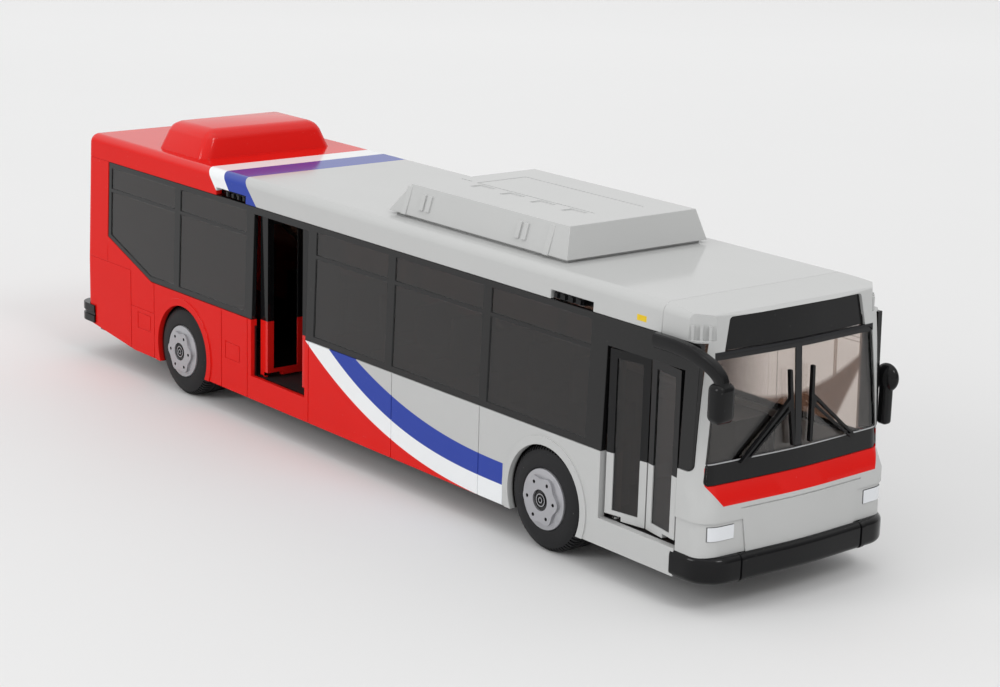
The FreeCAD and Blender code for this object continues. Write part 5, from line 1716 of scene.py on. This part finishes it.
@dataclass
class Wheels:
    """Tyres, hubs and axles.

    Attributes:
        tyre: The tyre that every wheel has.
        hub: Its hub.
    """

    tyre: Tyre
    hub: Hub

    def build(self, shared: Shared) -> list[bpy.types.Object]:
        """Makes the wheels and dresses the axles.

        Args:
            shared: The finishes.

        Returns:
            The pieces.
        """
        pieces = []
        for end in ("front", "rear"):
            dress(end + "_axle", shared.steel)
            for side in Side:
                name = side.name.lower()
                low, high = box_of(f"{end}_tyre_{name}")
                facing = Matrix.Rotation(0.0 if side is Side.LEFT else math.pi, 4, "Z")
                turn = Matrix.Translation((Vector(low) + Vector(high)) * MM / 2) @ facing
                pieces.append(self.tyre.build(shared, f"{end}_tyre_{name}", turn))
                pieces.append(self.hub.build(shared, f"{end}_hub_{name}", turn))
        return pieces


@dataclass(frozen=True)
class SoftBox:
    """A square studio lamp that points at the bus.

    Attributes:
        name: Its name.
        place: Where it hangs, in metres.
        size: Its side's length, in metres.
        power: Its power in watts.
    """

    name: str
    place: Point
    size: float
    power: float

    def hang(self) -> None:
        """Adds the lamp."""
        data = bpy.data.lights.new(self.name, "AREA")
        data.shape = "SQUARE"
        data.size = self.size
        data.energy = self.power
        lamp = bpy.data.objects.new(self.name, data)
        bpy.context.scene.collection.objects.link(lamp)
        lamp.location = self.place
        lamp.rotation_euler = (-Vector(self.place)).to_track_quat("-Z", "Y").to_euler()


@dataclass
class Studio:
    """Pale floor, soft lights and the camera.

    Attributes:
        eye: The camera's place, in millimetres.
        yaw: The camera's turn about the vertical, in degrees.
        pitch: Its tilt, negative downwards.
        roll: Its turn about its own line of sight.
        lens: Its focal length.
        film: Its picture's width.
        sight: How far it sees, in metres.
        floor_reach: Distance from the bus to the floor's edges, in metres.
        pale: The floor's tone round the bus.
        far: Its tone far behind, painted paler as painted light, where the backdrop is lit brighter.
        painted_light_direction: Direction in which the painted light makes it grow paler.
        fade: Over what distance it does, in millimetres.
        fibre: Waves and layers of the paper's unevenness.
        uneven: How much that changes the tone.
        fill: The room's light on the bus.
        seen: Its brightness where it is seen or mirrored.
        dark_wing: Direction of the room's darker side.
        wing_edge: Cosine from which that side starts, and how soft it starts.
        wing_light: How bright that side is.
        boxes: The lamps.
    """

    eye: Point = (489.306, -377.482, 191.108)
    yaw: float = 50.749
    pitch: float = -14.640
    roll: float = 1.622
    lens: float = 84.265
    film: float = 36.0
    sight: float = 20.0
    floor_reach: float = 6.0
    pale: float = 0.78
    far: float = 0.96
    painted_light_direction: tuple[float, float] = (-0.77, 0.63)
    fade: float = 900.0
    fibre: tuple[float, float] = (6.0, 4.0)
    uneven: float = 0.02
    fill: float = 0.80
    seen: float = 0.88
    dark_wing: Point = (0.68, 0.73, 0.0)
    wing_edge: tuple[float, float] = (0.84, 0.24)
    wing_light: float = 0.35
    boxes: tuple[SoftBox, ...] = (
        SoftBox("top_box", (0.15, -0.25, 1.2), 1.3, 2.2), SoftBox("side_box", (-0.3, -1.3, 0.7), 0.5, 4.0),
        SoftBox("front_box", (1.1, 0.0, 1.1), 0.35, 3.4))

    def build(self) -> None:
        """Sets up everything that isn't part of the bus."""
        self.camera()
        self.floor()
        self.world()
        for box in self.boxes:
            box.hang()
        bpy.context.scene.view_settings.view_transform = "Standard"

    def camera(self) -> None:
        """Places the camera as the photograph's."""
        data = bpy.data.cameras.new("camera")
        data.lens = self.lens
        data.sensor_width = self.film
        data.clip_end = self.sight
        camera = bpy.data.objects.new("camera", data)
        bpy.context.scene.collection.objects.link(camera)
        yaw, pitch = math.radians(self.yaw), math.radians(self.pitch)
        ahead = Vector((-math.sin(yaw) * math.cos(pitch), math.cos(yaw) * math.cos(pitch), math.sin(pitch)))
        across = Vector((math.cos(yaw), math.sin(yaw), 0.0))
        turn = Matrix((across, across.cross(ahead), -ahead)).transposed().to_4x4()
        camera.matrix_world = Matrix.Translation(Vector(self.eye) * MM) @ turn @ Matrix.Rotation(
            math.radians(self.roll), 4, "Z")
        bpy.context.scene.camera = camera

    def floor(self) -> None:
        """Lays the pale floor, with painted light that makes it paler away from the bus."""
        shape = bmesh.new()
        bmesh.ops.create_grid(shape, x_segments=1, y_segments=1, size=self.floor_reach)
        mesh = bpy.data.meshes.new("floor")
        shape.to_mesh(mesh)
        shape.free()
        floor = bpy.data.objects.new("floor", mesh)
        bpy.context.scene.collection.objects.link(floor)
        made, graph, shader = start_material("floor_paper")
        along, across, _ = graph.place()
        # Painted light: the floor grows paler away from the bus, standing in for the brighter light on the
        # far backdrop.
        ahead, aside = self.painted_light_direction
        away = graph.maths("MULTIPLY_ADD", along, ahead, graph.maths("MULTIPLY", across, aside))
        share = graph.below(self.fade / 2, away, self.fade)
        tone = graph.blend(share, rgba((self.pale,) * 3), rgba((self.far,) * 3))
        paper = graph.maths("MULTIPLY_ADD", graph.noise(*self.fibre), self.uneven, 1 - self.uneven / 2)
        graph.feed(shader.inputs["Base Color"], graph.scaled(tone, paper))
        shader.inputs["Roughness"].default_value = 0.6
        shader.inputs["Specular IOR Level"].default_value = 0.2
        mesh.materials.append(made)

    def world(self) -> None:
        """Lights everything softly from all round."""
        world = bpy.data.worlds.new("studio")
        world.use_nodes = True
        bpy.context.scene.world = world
        graph = Graph(world.node_tree)
        path = graph.add("ShaderNodeLightPath").outputs
        shown = graph.maths("MAXIMUM", path["Is Camera Ray"],
                            graph.maths("MAXIMUM", path["Is Glossy Ray"], path["Is Transmission Ray"]))
        strength = graph.maths("MULTIPLY_ADD", shown, self.seen - self.fill, self.fill)
        toward = graph.add("ShaderNodeVectorMath", operation="DOT_PRODUCT")
        graph.feed(toward.inputs[0], graph.add("ShaderNodeTexCoord").outputs["Generated"])
        toward.inputs[1].default_value = self.dark_wing
        wing = graph.below(toward.outputs["Value"], *self.wing_edge)
        light = graph.maths("MULTIPLY_ADD", wing, 1 - self.wing_light, self.wing_light)
        back = world.node_tree.nodes["Background"]
        back.inputs["Color"].default_value = (1.0, 1.0, 1.0, 1.0)
        graph.feed(back.inputs["Strength"], graph.maths("MULTIPLY", strength, light))


def main() -> None:
    """Builds every sub-assembly in order."""
    logging.basicConfig(level=logging.INFO)
    shared = Shared()
    for part in (BodyShell(), BlackTrim(), Glazing(), Wheels(Tyre(), Hub())):
        for piece in part.build(shared):
            LOG.info("%s: %s", type(part).__name__, piece.name)
    Studio().build()


if __name__ == "__main__":
    main()
